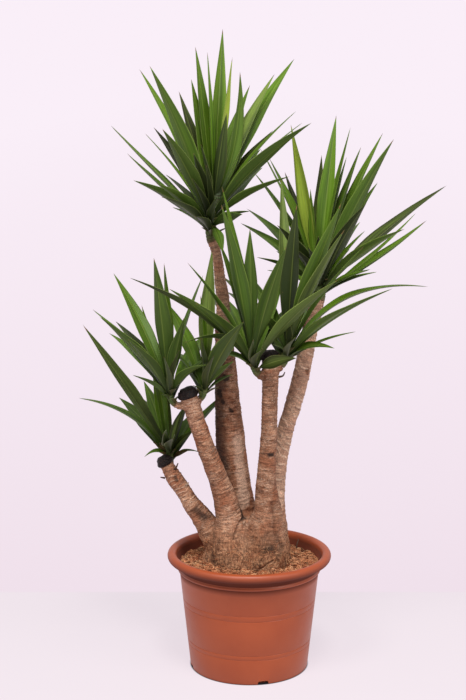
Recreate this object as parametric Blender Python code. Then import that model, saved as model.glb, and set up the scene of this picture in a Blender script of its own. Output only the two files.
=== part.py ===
"""A potted yucca: five canes grown from one foot, seven leafy shoots, coir and a plastic pot.

Metres, +Z up. The origin is the middle of the pot's underside, and the front looks along -Y.
"""

import math
import random
from collections import namedtuple

import bmesh
import bpy
from mathutils import Vector
from mathutils.bvhtree import BVHTree

GAP = 0.0003  # between pieces that touch

# The pot: a common grower's container, 400 mm across its rolled rim.
RIM_RADIUS = 0.200
RIM_TUBE = 0.011
RIM_HEIGHT = 0.2794  # of the middle of the rolled rim
BASE_RADIUS = 0.1444
WALL_SLOPE = 0.1073  # growth of the radius with height
WALL = 0.004
FLOOR = 0.005
COLLAR_HEIGHT = 0.243  # of the bead under the rim
MOUTH_RADIUS = 0.178
POT_SIDES = 40
DRAIN_SLOTS = 4
DRAIN_WIDTH = 0.026
DRAIN_HEIGHT = 0.009
DRAIN_TURN = math.radians(-77)  # of the first slot, from straight ahead

# The coir, and the plain hole that the foot is planted in.
SOIL_TOP = 0.262
SOIL_EDGE = 0.257
SOIL_FLAT = 0.130  # radius of the level middle
FOOT_CENTRE = Vector((-0.008, 0.012, 0))
HOLE_HALF = (0.085, 0.066)
HOLE_DEPTH = 0.080

# The foot: rings of an ellipse with soft lobes. Height, half width, half depth.
FOOT_RINGS = (
    (SOIL_TOP + GAP, 0.108, 0.087),
    (0.278, 0.105, 0.084),
    (0.300, 0.098, 0.078),
    (0.325, 0.088, 0.070),
    (0.352, 0.074, 0.060),
    (0.378, 0.056, 0.046),
)
FOOT_LOBES = 7
FOOT_LOBE_SIZE = 0.035
FOOT_SIDES = 24

# Each cane from its foot to its top: x, y, height and radius.
CANE_SIDES = 12
CANES = {
    "low": (
        (-0.064, -0.006, 0.285, 0.037),
        (-0.082, -0.004, 0.320, 0.033),
        (-0.116, 0.000, 0.374, 0.0250),
        (-0.140, 0.000, 0.406, 0.0215),
        (-0.160, 0.000, 0.440, 0.0195),
        (-0.181, 0.000, 0.470, 0.0200),
        (-0.202, 0.000, 0.508, 0.0160),
    ),
    "left": (
        (-0.045, -0.024, 0.275, 0.048),
        (-0.046, -0.022, 0.330, 0.042),
        (-0.047, -0.020, 0.372, 0.034),
        (-0.058, -0.022, 0.422, 0.029),
        (-0.070, -0.030, 0.463, 0.0245),
        (-0.088, -0.040, 0.515, 0.0228),
        (-0.106, -0.045, 0.565, 0.0214),
        (-0.124, -0.050, 0.620, 0.0202),
        (-0.145, -0.052, 0.686, 0.0210),
    ),
    "tall": (
        (-0.020, 0.040, 0.275, 0.058),
        (-0.030, 0.045, 0.377, 0.047),
        (-0.038, 0.048, 0.453, 0.0405),
        (-0.045, 0.050, 0.542, 0.0366),
        (-0.052, 0.050, 0.635, 0.0316),
        (-0.059, 0.050, 0.761, 0.0250),
        (-0.063, 0.050, 0.828, 0.0198),
        (-0.064, 0.050, 0.901, 0.0156),
        (-0.072, 0.048, 0.962, 0.0132),
        (-0.079, 0.046, 1.015, 0.0122),
        (-0.088, 0.045, 1.045, 0.0140),
    ),
    "front": (
        (0.034, -0.028, 0.275, 0.058),
        (0.038, -0.030, 0.350, 0.047),
        (0.044, -0.030, 0.400, 0.035),
        (0.041, -0.032, 0.438, 0.028),
        (0.040, -0.036, 0.496, 0.0225),
        (0.046, -0.040, 0.584, 0.0198),
        (0.048, -0.040, 0.689, 0.0192),
        (0.049, -0.040, 0.745, 0.0200),
        (0.047, -0.040, 0.774, 0.0190),
    ),
    "right": (
        (0.060, 0.020, 0.275, 0.040),
        (0.062, 0.022, 0.334, 0.033),
        (0.063, 0.028, 0.382, 0.027),
        (0.066, 0.038, 0.452, 0.0225),
        (0.084, 0.046, 0.562, 0.0203),
        (0.115, 0.056, 0.668, 0.0207),
        (0.134, 0.062, 0.752, 0.0200),
        (0.150, 0.068, 0.837, 0.0190),
        (0.167, 0.072, 0.900, 0.0170),
    ),
}

# Dark wax on the sawn tops of the shorter canes.
SEAL_HEIGHT = 0.022
SEAL_OVERHANG = 0.0012
SEAL_SIDES = 16
SEALED = ("low", "left", "front")

# Shoots: the cane that each grows from, the middle of its crown and its radius. A side shoot
# also has a seat, where its heel ends, and the way it sets out. The others go on from the cane.
Shoot = namedtuple("Shoot", "cane crown radius seat aim", defaults=(None, None))
SHOOTS = {
    "head_tall": Shoot("tall", (-0.077, 0.045, 1.150), 0.0135),
    "head_right": Shoot("right", (0.157, 0.070, 0.968), 0.0155),
    "head_front_left": Shoot(
        "front", (0.004, -0.055, 0.797), 0.0090, seat=(0.021, -0.048, 0.739), aim=(-0.7, -0.2, 0.7)
    ),
    "head_front_right": Shoot(
        "front", (0.086, -0.035, 0.820), 0.0092, seat=(0.074, -0.036, 0.757), aim=(0.7, 0.1, 0.7)
    ),
    "head_left": Shoot(
        "left", (-0.191, -0.050, 0.722), 0.0080, seat=(-0.176, -0.051, 0.667), aim=(-0.8, 0, 0.6)
    ),
    "head_middle": Shoot(
        "left", (-0.106, -0.045, 0.735), 0.0080, seat=(-0.118, -0.048, 0.679), aim=(0.7, 0.1, 0.7)
    ),
    "head_low": Shoot(
        "low", (-0.198, 0.010, 0.552), 0.0085, seat=(-0.194, 0.030, 0.500), aim=(0.1, 0.7, 0.7)
    ),
}
HEEL_EXTRA = 0.0012  # of the cane's heel over the shoot's own radius
CORE_SIDES = 8
CORE_START = 0.004  # length of the shoot that stands square on its seat
CORE_RISE = 0.016  # of the shoot's pointed end over its crown

# Blades: lean from upright to the right and turn to the back in degrees, length in millimetres,
# the width that shows from the front and the full width, bow as a share of the length, and
# where on the shoot the blade grows (0 to 1).
Blade = namedtuple("Blade", "lean turn length show width bow at")


def blade(lean, turn, length, show=None, width=None, bow=None, at=None):
    """A blade as it is listed, with the width that its length gives."""
    return Blade(lean, turn, length, show, width or 24 + 0.047 * length, bow, at)


BLADES = {
    "head_tall": (
        blade(-26, 18, 407, 21),
        blade(-20, -26, 418, 29),
        blade(-23, -44, 349, 28),
        blade(-45, 11, 335, 8, bow=-0.02),
        blade(-47, -10, 258, 7, bow=-0.04),
        blade(-52, -38, 267, 19),
        blade(-44, -44, 230, 21),
        blade(-58, 14, 102, 7),
        blade(-36, 5, 254, 5, width=14),
        blade(-9, 13, 318, 26),
        blade(-6, 10, 385, 24),
        blade(-2, 2, 358, 9, width=30),
        blade(3, 10, 417, 30),
        blade(8, -12, 222, 24),
        blade(7, 3, 338, 12, width=32),
        blade(11, 10, 315, 22, bow=-0.16),
        blade(25, 26, 392, 26),
        blade(29, 32, 492, 33, width=50),
        blade(29, 40, 541, 30),
        blade(44, -32, 378, 22),
        blade(45, 6, 299, 5, width=14),
        blade(40, 8, 305, 7, width=20),
        blade(58, -23, 227, 12),
        blade(69, -14, 95, 7),
        blade(157, -42, 86, 19, at=0.4),
        blade(-9, -6, 157, 9),
        blade(61, -48, 121, 21),
        blade(-15, 22, 320, 26),
        blade(17, 24, 330, 24),
        blade(-32, 28, 290, 22),
        blade(37, 30, 280, 20),
        blade(-12, -38, 210, 22),
    ),
    "head_right": (
        blade(6, 10, 398, 31),
        blade(-10, 10, 371, 24),
        blade(11, 4, 372, 9, width=32),
        blade(12, 6, 303, 12),
        blade(17, 11, 343, 16),
        blade(23, 14, 401, 19),
        blade(24, -16, 400, 29, width=42),
        blade(21, -44, 329, 28),
        blade(53, 26, 448, 21, bow=0.06),
        blade(45, -41, 321, 21),
        blade(58, 21, 332, 14, bow=-0.06),
        blade(51, 10, 296, 7, width=20, bow=-0.08),
        blade(38, 14, 174, 9),
        blade(65, 19, 138, 9),
        blade(65, -14, 143, 7, width=18),
        blade(60, -18, 127, 9),
        blade(-45, 45, 340, 23),
        blade(-53, 33, 276, 21),
        blade(-62, -18, 173, 9),
        blade(-71, 20, 133, 9),
        blade(-22, 11, 307, 16),
        blade(-24, 5, 332, 7, width=20),
        blade(-31, 13, 301, 14),
        blade(-5, 3, 209, 14),
        blade(2, 26, 330, 24),
        blade(-17, 28, 300, 20),
        blade(31, 28, 320, 22),
        blade(-4, -36, 150, 22),
        blade(-34, -34, 220, 20),
    ),
    "head_front_left": (
        blade(-11, -12, 372, 28),
        blade(-10, 5, 397, 16),
        blade(-1, -10, 304, 31, width=42),
        blade(14, -29, 336, 33),
        blade(-16, 12, 287, 19),
        blade(-51, -20, 377, 15, bow=0.12),
        blade(-44, -24, 295, 21),
        blade(-32, -10, 281, 9, width=20),
        blade(-37, -38, 270, 21),
        blade(-64, -30, 203, 14, bow=0.4),
        blade(-67, -19, 104, 9, bow=0.25),
        blade(40, -26, 320, 24),
        blade(64, -40, 130, 24, bow=0.1),
    ),
    "head_front_right": (
        blade(3, -12, 342, 35, width=48),
        blade(-2, 10, 392, 28),
        blade(17, -24, 410, 33, width=46, bow=0.03),
        blade(21, -28, 370, 22, width=42),
        blade(32, -20, 330, 8, width=24),
        blade(46, -32, 258, 16),
        blade(53, -18, 308, 12),
        blade(65, 14, 390, 9, bow=0.34),
        blade(69, 10, 179, 5, width=14),
        blade(70, -25, 128, 12, bow=0.3),
        blade(-30, -30, 150, 19),
        blade(68, 20, 94, 9),
    ),
    "head_left": (
        blade(-28, 30, 343, 26),
        blade(-5, -14, 326, 33, width=46),
        blade(-2, 2, 281, 14),
        blade(-43, 12, 270, 9),
        blade(-36, -25, 277, 21),
        blade(-29, -35, 215, 21),
        blade(12, -21, 201, 24),
        blade(17, 5, 278, 9),
        blade(-55, -14, 103, 7),
        blade(45, -28, 143, 16, bow=0.25),
        blade(46, 15, 136, 9),
    ),
    "head_middle": (
        blade(3, 10, 306, 31, width=42),
        blade(24, -45, 310, 33, width=46),
        blade(-29, 41, 274, 28, width=42),
        blade(-46, 29, 175, 5, width=16),
        blade(41, -23, 109, 14),
        blade(56, -8, 79, 5, width=16),
        blade(-3, 2, 193, 9),
    ),
    "head_low": (
        blade(-30, -18, 401, 21, bow=0),
        blade(-59, 15, 271, 9, bow=0.25),
        blade(-82, -12, 59, 7, width=14, bow=0.6),
        blade(75, 12, 70, 5, width=14, bow=0.4),
        blade(-11, 11, 370, 24),
        blade(-13, 32, 249, 28),
        blade(-3, 12, 169, 20),
        blade(45, 26, 254, 14),
        blade(18, 26, 146, 16),
        blade(40, -14, 85, 12),
        blade(16, -9, 122, 14),
    ),
}

# The other blades fill each shoot's back and heart. They are drawn with a seed.
FILLERS = {
    "head_tall": 16,
    "head_right": 13,
    "head_front_left": 7,
    "head_front_right": 7,
    "head_left": 6,
    "head_middle": 5,
    "head_low": 6,
}
SEED = 7
GOLDEN = 0.618034
FILL_LEAN = 52  # degrees to either side
FILL_TURN = (42, 68)  # degrees to the back or the front
FILL_LENGTH = (210, 340)
FRONT_SHARE = 3  # one filler in this many comes to the front
FRONT_SHOW = 12  # width that shows of those, in millimetres

# A blade's outline and section.
STATIONS = (0.0, 0.22, 0.50, 0.78)
ROOT_SHARE = 0.34  # of the full width, where the blade leaves the shoot
WIDEST = 0.50  # share of the length where the blade is widest
TIP_POWER = 1.35
SHOW_GAIN = 1.25  # as the fold hides part of the width
CHANNEL = (0.42, 0.12)  # depth of the channel over the half width, at root and tip
THICKNESS = (0.0042, 0.0014)
ELBOW = 0.45  # share of the length at which the bow pulls
DROOP = 0.12  # bow of a level blade that has none listed
TWIST_END = 0.35  # share of the length over which a blade turns its face
ROOT_OUT = 0.7  # of the shoot's radius, from its middle to the middle of a root
LOWEST_AT = 0.12
SPREAD = 85  # degrees off the shoot's axis at which a blade grows lowest
UP = Vector((0, 0, 1))
VIEW_DOWN = math.radians(10.4)  # slope at which the front of the plant is looked at
SIGHT = Vector((0, math.cos(VIEW_DOWN), -math.sin(VIEW_DOWN)))

# Room that each blade keeps to other shoots and canes.
ROOM_BESIDE = 0.003
ROOM_ABOVE = 0.008
ROOM_FROM = 0.10  # share of the length where that test begins
STEEPEST_TURN = 72
MOST_STRETCH = 1.35
BENDS = (0, 4, -4, 8, -8, 12, -12, 16, -16, 20, -20, 25, -25, 30, -30, 36, -36)


def clear_scene():
    for obj in list(bpy.data.objects):
        bpy.data.objects.remove(obj, do_unlink=True)


def material(name, colour, roughness):
    mat = bpy.data.materials.new(name)
    mat.use_nodes = True
    shader = mat.node_tree.nodes["Principled BSDF"]
    shader.inputs["Base Color"].default_value = (*colour, 1)
    shader.inputs["Roughness"].default_value = roughness
    shader.inputs["Metallic"].default_value = 0
    return mat


def mesh_object(name, points, faces):
    mesh = bpy.data.meshes.new(name)
    mesh.from_pydata([tuple(p) for p in points], [], faces)
    mesh.validate()
    obj = bpy.data.objects.new(name, mesh)
    bpy.context.scene.collection.objects.link(obj)
    return obj


def finish(obj, name, mat, smooth_angle=40):
    """Names a finished piece, gives it its material and shades its round faces smooth."""
    obj.name = name
    obj.data.name = name
    obj.data.materials.clear()
    obj.data.materials.append(mat)
    obj.data.shade_smooth()
    obj.data.set_sharp_from_angle(angle=math.radians(smooth_angle))
    return obj


def evaluated_mesh(obj):
    """Puts the result of an object's modifiers in its mesh."""
    graph = bpy.context.evaluated_depsgraph_get()
    mesh = bpy.data.meshes.new_from_object(obj.evaluated_get(graph))
    obj.modifiers.clear()
    obj.data = mesh
    return obj


def drop_scraps(mesh):
    """Keeps the largest body of a mesh and takes away loose specks."""
    bm = bmesh.new()
    bm.from_mesh(mesh)
    left, bodies = set(bm.verts), []
    while left:
        body, edge = set(), [left.pop()]
        while edge:
            vert = edge.pop()
            body.add(vert)
            near = {link.other_vert(vert) for link in vert.link_edges} & left
            left -= near
            edge += near
        bodies.append(body)
    largest = max(bodies, key=len)
    specks = [vert for body in bodies if body is not largest for vert in body]
    bmesh.ops.delete(bm, geom=specks, context="VERTS")
    bm.to_mesh(mesh)
    bm.free()


def fuse(pieces):
    """One body from pieces that overlap."""
    body = pieces[0]
    others = bpy.data.collections.new("joined")
    bpy.context.scene.collection.children.link(others)
    for piece in pieces[1:]:
        bpy.context.scene.collection.objects.unlink(piece)
        others.objects.link(piece)
    union = body.modifiers.new("Union", "BOOLEAN")
    union.operation = "UNION"
    union.solver = "EXACT"
    union.operand_type = "COLLECTION"
    union.collection = others
    evaluated_mesh(body)
    drop_scraps(body.data)
    for piece in pieces[1:]:
        bpy.data.objects.remove(piece, do_unlink=True)
    bpy.data.collections.remove(others)
    return body


def cut(body, cutter):
    """Takes the cutter's shape out of the body."""
    difference = body.modifiers.new("Cut", "BOOLEAN")
    difference.operation = "DIFFERENCE"
    difference.solver = "EXACT"
    difference.object = cutter
    evaluated_mesh(body)
    bpy.data.objects.remove(cutter, do_unlink=True)
    return body


def turned(name, profile, sides):
    """A closed profile of (radius, height) points, turned round the Z axis."""
    bm = bmesh.new()
    points = [bm.verts.new((radius, 0, height)) for radius, height in profile]
    edges = [bm.edges.new((a, b)) for a, b in zip(points, points[1:])]
    bmesh.ops.spin(bm, geom=points + edges, axis=(0, 0, 1), cent=(0, 0, 0), angle=2 * math.pi, steps=sides)
    bmesh.ops.remove_doubles(bm, verts=bm.verts, dist=1e-5)
    bmesh.ops.recalc_face_normals(bm, faces=bm.faces)
    mesh = bpy.data.meshes.new(name)
    bm.to_mesh(mesh)
    bm.free()
    obj = bpy.data.objects.new(name, mesh)
    bpy.context.scene.collection.objects.link(obj)
    return obj


def outer_radius(height):
    return BASE_RADIUS + WALL_SLOPE * height


def inner_profile():
    """The inside of the pot from its floor to its mouth."""
    return [
        (BASE_RADIUS - WALL, FLOOR),
        (outer_radius(COLLAR_HEIGHT) - WALL, COLLAR_HEIGHT),
        (0.1750, 0.262),
        (MOUTH_RADIUS, RIM_HEIGHT),
    ]


def rim_arc(first, last, steps):
    """Points of the rolled rim between two angles, in degrees from straight out."""
    centre = RIM_RADIUS - RIM_TUBE
    angles = [math.radians(first + (last - first) * i / steps) for i in range(steps + 1)]
    return [(centre + RIM_TUBE * math.cos(a), RIM_HEIGHT + RIM_TUBE * math.sin(a)) for a in angles]


def cove():
    """The hollow that flares from the bead up to the rim."""
    return [
        (outer_radius(COLLAR_HEIGHT) + 0.0005, COLLAR_HEIGHT - 0.004),
        (outer_radius(COLLAR_HEIGHT) + 0.0028, COLLAR_HEIGHT),
        (outer_radius(COLLAR_HEIGHT) + 0.0020, COLLAR_HEIGHT + 0.004),
        (0.1728, 0.2560),
        (0.1765, 0.2640),
    ]


def pot_profile():
    outside = [(0, 0), (BASE_RADIUS - 0.003, 0), (outer_radius(0.003), 0.003)]
    return (
        outside
        + cove()
        + rim_arc(-105, 155, 8)
        + inner_profile()[::-1]
        + [(0, FLOOR)]
    )


def drain_slot(angle):
    """A block that goes through the foot of the wall."""
    inner, outer = BASE_RADIUS - 0.012, BASE_RADIUS + 0.02
    half = DRAIN_WIDTH / 2
    out = Vector((math.sin(angle), -math.cos(angle), 0))
    side = Vector((math.cos(angle), math.sin(angle), 0))
    corners = []
    for height in (-0.01, DRAIN_HEIGHT):
        for along, across in ((inner, -half), (outer, -half), (outer, half), (inner, half)):
            corners.append(out * along + side * across + Vector((0, 0, height)))
    faces = [(3, 2, 1, 0), (4, 5, 6, 7), (0, 1, 5, 4), (1, 2, 6, 5), (2, 3, 7, 6), (3, 0, 4, 7)]
    return corners, faces


def make_pot():
    pot = turned("pot", pot_profile(), POT_SIDES)
    points, faces = [], []
    for index in range(DRAIN_SLOTS):
        corners, sides = drain_slot(DRAIN_TURN + index * 2 * math.pi / DRAIN_SLOTS)
        faces += [tuple(len(points) + i for i in side) for side in sides]
        points += corners
    cut(pot, mesh_object("slots", points, faces))
    return finish(pot, "pot", material("terracotta_plastic", (0.392, 0.098, 0.047), 0.42), 28)


def ellipse(centre, half, height, sides, lobe=0.0):
    """A ring of points, with soft lobes where the foot has them."""
    ring = []
    for index in range(sides):
        angle = 2 * math.pi * index / sides
        swell = 1 + lobe * math.cos(FOOT_LOBES * angle + 0.6)
        offset = Vector((half[0] * math.cos(angle), half[1] * math.sin(angle), 0)) * swell
        ring.append(centre + offset + Vector((0, 0, height)))
    return ring


def loft(name, rings):
    """A closed body through rings of points that run anticlockwise, from low to high."""
    sides = len(rings[0])
    points = [point for ring in rings for point in ring]
    faces = [tuple(range(sides))[::-1], tuple(range(len(points) - sides, len(points)))]
    for level in range(len(rings) - 1):
        low = level * sides
        for i in range(sides):
            j = (i + 1) % sides
            faces.append((low + i, low + j, low + sides + j, low + sides + i))
    return mesh_object(name, points, faces)


def inner_radius(height):
    """The inside radius of the pot at a height."""
    for (low_radius, low), (high_radius, high) in zip(inner_profile(), inner_profile()[1:]):
        if low <= height <= high:
            return low_radius + (high_radius - low_radius) * (height - low) / (high - low)
    return MOUTH_RADIUS


def make_soil():
    profile = [(0, FLOOR + GAP)]
    for height in (FLOOR + GAP, COLLAR_HEIGHT, SOIL_EDGE):
        profile.append((inner_radius(height) - GAP, height))
    profile += [(SOIL_FLAT, SOIL_TOP), (0, SOIL_TOP)]
    soil = turned("soil", profile, POT_SIDES)
    bottom, top = SOIL_TOP - HOLE_DEPTH, SOIL_TOP + 0.02
    hole = [ellipse(FOOT_CENTRE, HOLE_HALF, height, FOOT_SIDES) for height in (bottom, top)]
    cut(soil, loft("hole", hole))
    return finish(soil, "soil", material("coir", (0.235, 0.120, 0.055), 0.95))


def cane_route(name):
    """A cane's stations, from a level ring on the coir to its top."""
    stations = [Vector(station) for station in CANES[name]]
    x, y, _, radius = stations[0]
    return [Vector((x, y, SOIL_TOP + GAP, radius)), *stations]


def tube(name, route, sides):
    """A round body along points that each carry a radius."""
    rings = []
    for index, station in enumerate(route):
        before = route[max(index - 1, 0)].xyz
        after = route[min(index + 1, len(route) - 1)].xyz
        along = (after - before).normalized()
        right = Vector((0, 1, 0)).cross(along).normalized()
        front = along.cross(right)
        ring = []
        for side in range(sides):
            angle = 2 * math.pi * side / sides
            ring.append(station.xyz + station.w * (math.cos(angle) * right + math.sin(angle) * front))
        rings.append(ring)
    return loft(name, rings)


def cane_top(name):
    """The middle of a cane's top, the way it points and its radius."""
    below, top = cane_route(name)[-2:]
    return top.xyz, (top.xyz - below.xyz).normalized(), top.w


def nearest_on_cane(name, point):
    """The point of a cane's middle line that is nearest to a point."""
    route = cane_route(name)
    shares = [step / 8 for step in range(9)]
    line = [low.xyz.lerp(high.xyz, share) for low, high in zip(route, route[1:]) for share in shares]
    return min(line, key=lambda place: (place - point).length)


def seat_of(shoot):
    """Where a shoot starts, and the way it sets out."""
    if shoot.seat is None:
        return cane_top(shoot.cane)[:2]
    return Vector(shoot.seat), Vector(shoot.aim).normalized()


def heel(shoot):
    """The stub of cane that a side shoot stands on, ending in a flat face at its seat."""
    seat, aim = seat_of(shoot)
    start = nearest_on_cane(shoot.cane, seat - 0.018 * aim)
    radius = shoot.radius + HEEL_EXTRA
    middle = seat - 0.008 * aim
    return tube("heel", [Vector((*place, radius)) for place in (start, middle, seat)], CORE_SIDES)


def make_trunk():
    foot = [ellipse(FOOT_CENTRE, half, height, FOOT_SIDES, FOOT_LOBE_SIZE) for height, *half in FOOT_RINGS]
    pieces = [loft("foot", foot)]
    plug_half = [half - GAP for half in HOLE_HALF]
    plug_heights = (SOIL_TOP - HOLE_DEPTH + GAP, SOIL_TOP + 0.015)
    pieces.append(loft("plug", [ellipse(FOOT_CENTRE, plug_half, z, FOOT_SIDES) for z in plug_heights]))
    for name in CANES:
        pieces.append(tube("cane", cane_route(name), CANE_SIDES))
    for shoot in SHOOTS.values():
        if shoot.seat is not None:
            pieces.append(heel(shoot))
    return finish(fuse(pieces), "trunk", material("bark", (0.300, 0.165, 0.090), 0.85))


def make_seal(name):
    """A low dome of wax on a sawn top."""
    top, along, radius = cane_top(name)
    right = Vector((0, 1, 0)).cross(along).normalized()
    front = along.cross(right)
    rings = []
    for share, width in ((0, 1.0), (0.35, 1.0), (0.75, 0.78), (1.0, 0.36)):
        centre = top + along * (GAP + share * SEAL_HEIGHT)
        reach = (radius + SEAL_OVERHANG) * width
        turns = [2 * math.pi * i / SEAL_SIDES for i in range(SEAL_SIDES)]
        rings.append([centre + reach * (math.cos(a) * right + math.sin(a) * front) for a in turns])
    seal = loft("seal", rings)
    return finish(seal, "wax_seal_" + name, material("wax", (0.020, 0.014, 0.013), 0.45))


def shoot_point(shoot, share):
    """A point of the shoot's middle line, from its seat (0) to its crown (1)."""
    seat, aim = seat_of(shoot)
    crown = Vector(shoot.crown)
    elbow = seat + aim * 0.45 * (crown - seat).length
    return seat.lerp(elbow, share).lerp(elbow.lerp(crown, share), share)


def shoot_axis(shoot):
    return (shoot_point(shoot, 1) - shoot_point(shoot, 0.5)).normalized()


def core(shoot):
    """The green stem inside a head, from just off its seat to a point over its crown."""
    seat, aim = seat_of(shoot)
    route = [Vector((*(seat + aim * rise), shoot.radius)) for rise in (GAP, CORE_START)]
    for share, girth in ((0.25, 0.95), (0.6, 0.9), (1.0, 0.75)):
        route.append(Vector((*shoot_point(shoot, share), shoot.radius * girth)))
    end = shoot_point(shoot, 1) + shoot_axis(shoot) * CORE_RISE
    route.append(Vector((*end, shoot.radius * 0.2)))
    return tube("core", route, CORE_SIDES)


def half_width(share, width):
    """Half the blade's width at a share of its length."""
    if share < WIDEST:
        rise = 0.5 - 0.5 * math.cos(math.pi * share / WIDEST)
        return 0.5 * width * (ROOT_SHARE + (1 - ROOT_SHARE) * rise)
    return 0.5 * width * (1 - ((share - WIDEST) / (1 - WIDEST)) ** TIP_POWER)


def blade_aim(spec):
    """The way from a blade's root to its tip."""
    lean, turn = math.radians(spec.lean), math.radians(spec.turn)
    return Vector((math.sin(lean) * math.cos(turn), math.sin(turn), math.cos(lean) * math.cos(turn)))


def blade_curve(shoot, spec):
    """The root, elbow and tip of a blade's middle line."""
    aim, axis = blade_aim(spec), shoot_axis(shoot)
    off = math.degrees(axis.angle(aim))
    at = spec.at if spec.at is not None else 1 - (1 - LOWEST_AT) * min(off / SPREAD, 1)
    outward = (aim - axis * axis.dot(aim)) * ROOT_OUT * shoot.radius
    root = shoot_point(shoot, at) + outward
    length = spec.length / 1000
    lift = UP - aim * UP.dot(aim)
    if spec.bow is None:
        lift *= DROOP
    else:
        lift = lift.normalized() * spec.bow
    return root, root + (aim * ELBOW + lift) * length, root + aim * length


def blade_across(shoot, spec):
    """The directions across a blade at its root and further out, where its face has turned."""
    aim = blade_aim(spec)
    root = shoot_axis(shoot).cross(aim).normalized()
    if spec.show is None:
        return root, root
    face = SIGHT.cross(aim).normalized()
    edge = aim.cross(face)
    share = min(SHOW_GAIN * spec.show / spec.width, 1)
    face *= math.copysign(share, root.dot(face))
    edge *= math.copysign(math.sqrt(1 - share * share), root.dot(edge))
    return root, face + edge


def blade_points(shoot, spec, first=0.0, beside=0.0, above=0.0):
    """Points and triangles of a channelled blade. The extra room makes it fatter."""
    root, elbow, tip = blade_curve(shoot, spec)
    across_root, across_face = blade_across(shoot, spec)
    points = []
    shares = [share for share in STATIONS if share >= first]
    for share in shares:
        low, high = root.lerp(elbow, share), elbow.lerp(tip, share)
        middle, along = low.lerp(high, share), (high - low).normalized()
        across = across_root.slerp(across_face, min(share / TWIST_END, 1))
        across = (across - along * along.dot(across)).normalized()
        up = along.cross(across)
        half = half_width(share, spec.width / 1000)
        channel = half * (CHANNEL[0] + (CHANNEL[1] - CHANNEL[0]) * share)
        thick = THICKNESS[0] + (THICKNESS[1] - THICKNESS[0]) * share + above
        edge = across * (half + beside)
        points += [middle + edge + up * channel, middle + up * thick / 2]
        points += [middle - edge + up * channel, middle - up * thick / 2]
    points.append(tip)
    return points, blade_faces(len(shares))


def blade_faces(levels):
    """Triangles between the levels of four points, split alike on both faces, and a pointed tip."""
    faces = [(0, 1, 3), (1, 2, 3)]
    for low in range(0, 4 * (levels - 1), 4):
        high = low + 4
        for edge, middle, flip in ((0, 1, True), (2, 1, False), (2, 3, True), (0, 3, False)):
            pair = [(low + edge, low + middle, high + middle), (low + edge, high + middle, high + edge)]
            faces += [face[::-1] for face in pair] if flip else pair
    end = 4 * (levels - 1)
    return faces + [(end + i, end + 4, end + (i + 1) % 4) for i in range(4)]


def tree_of(points, faces):
    return BVHTree.FromPolygons([tuple(p) for p in points], faces)


def tree_of_object(obj):
    return tree_of([v.co for v in obj.data.vertices], [tuple(p.vertices) for p in obj.data.polygons])


def turned_by(spec, bend):
    """The blade turned to the back, and about as long as before when it is seen from the front."""
    turn = spec.turn + bend
    stretch = math.cos(math.radians(spec.turn)) / math.cos(math.radians(turn))
    return spec._replace(turn=turn, length=spec.length * min(stretch, MOST_STRETCH))


def fitted(name, spec, placed):
    """The blade turned as little as it takes to pass clear of the other shoots, or None."""
    for bend in BENDS:
        if abs(spec.turn + bend) > STEEPEST_TURN:
            continue
        trial = turned_by(spec, bend)
        bare = tree_of(*blade_points(SHOOTS[name], trial))
        room = tree_of(*blade_points(SHOOTS[name], trial, ROOM_FROM, ROOM_BESIDE, ROOM_ABOVE))
        others = [tree for owner, tree in placed if owner != name]
        if not any(bare.overlap(tree) or room.overlap(tree) for tree in others):
            placed.append((name, bare))
            return trial
    return None


def filler(draw, index):
    """A seeded blade for the back or the heart of a head."""
    spread = (index * GOLDEN) % 1
    front = index % FRONT_SHARE == 1
    lean = FILL_LEAN * (2 * spread - 1)
    turn = draw.uniform(*FILL_TURN) * (-1 if front else 1)
    length = draw.uniform(*FILL_LENGTH) * (0.7 if front else 1)
    return blade(round(lean), round(turn), round(length), FRONT_SHOW if front else None)


def arrange_blades(solids):
    """Every head's blades, none of them through another head or a cane."""
    placed = [(obj.name, tree_of_object(obj)) for obj in solids]
    for name, stem in STEMS.items():
        placed.append((name, tree_of_object(stem)))
    grown = {name: [] for name in SHOOTS}
    for name, specs in BLADES.items():
        for spec in specs:
            fit = fitted(name, spec, placed)
            if fit is not None:
                grown[name].append(fit)
    draw = random.Random(SEED)
    for name, count in FILLERS.items():
        for index in range(count):
            fit = fitted(name, filler(draw, index), placed)
            if fit is not None:
                grown[name].append(fit)
    return grown


def make_head(name, specs, leaf):
    pieces = [STEMS[name]]
    for spec in specs:
        pieces.append(mesh_object("blade", *blade_points(SHOOTS[name], spec)))
    return finish(fuse(pieces), name, leaf, 60)


clear_scene()
make_pot()
make_soil()
TRUNK = make_trunk()
SEALS = [make_seal(name) for name in SEALED]
STEMS = {name: core(shoot) for name, shoot in SHOOTS.items()}
LEAF = (0.060, 0.145, 0.025)
GROWN = arrange_blades([TRUNK, *SEALS])
for head, blades in GROWN.items():
    make_head(head, blades, material("leaf_" + head, LEAF, 0.38))
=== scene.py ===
"""The looks of the potted yucca: fine leaves, bark, coir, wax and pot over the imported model.

Metres, +Z up. The origin is the middle of the pot's underside, and the front looks along -Y.
"""

import math
import random
from collections import namedtuple

import bmesh
import bpy
import numpy as np
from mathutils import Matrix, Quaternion, Vector, noise
from mathutils.kdtree import KDTree


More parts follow.
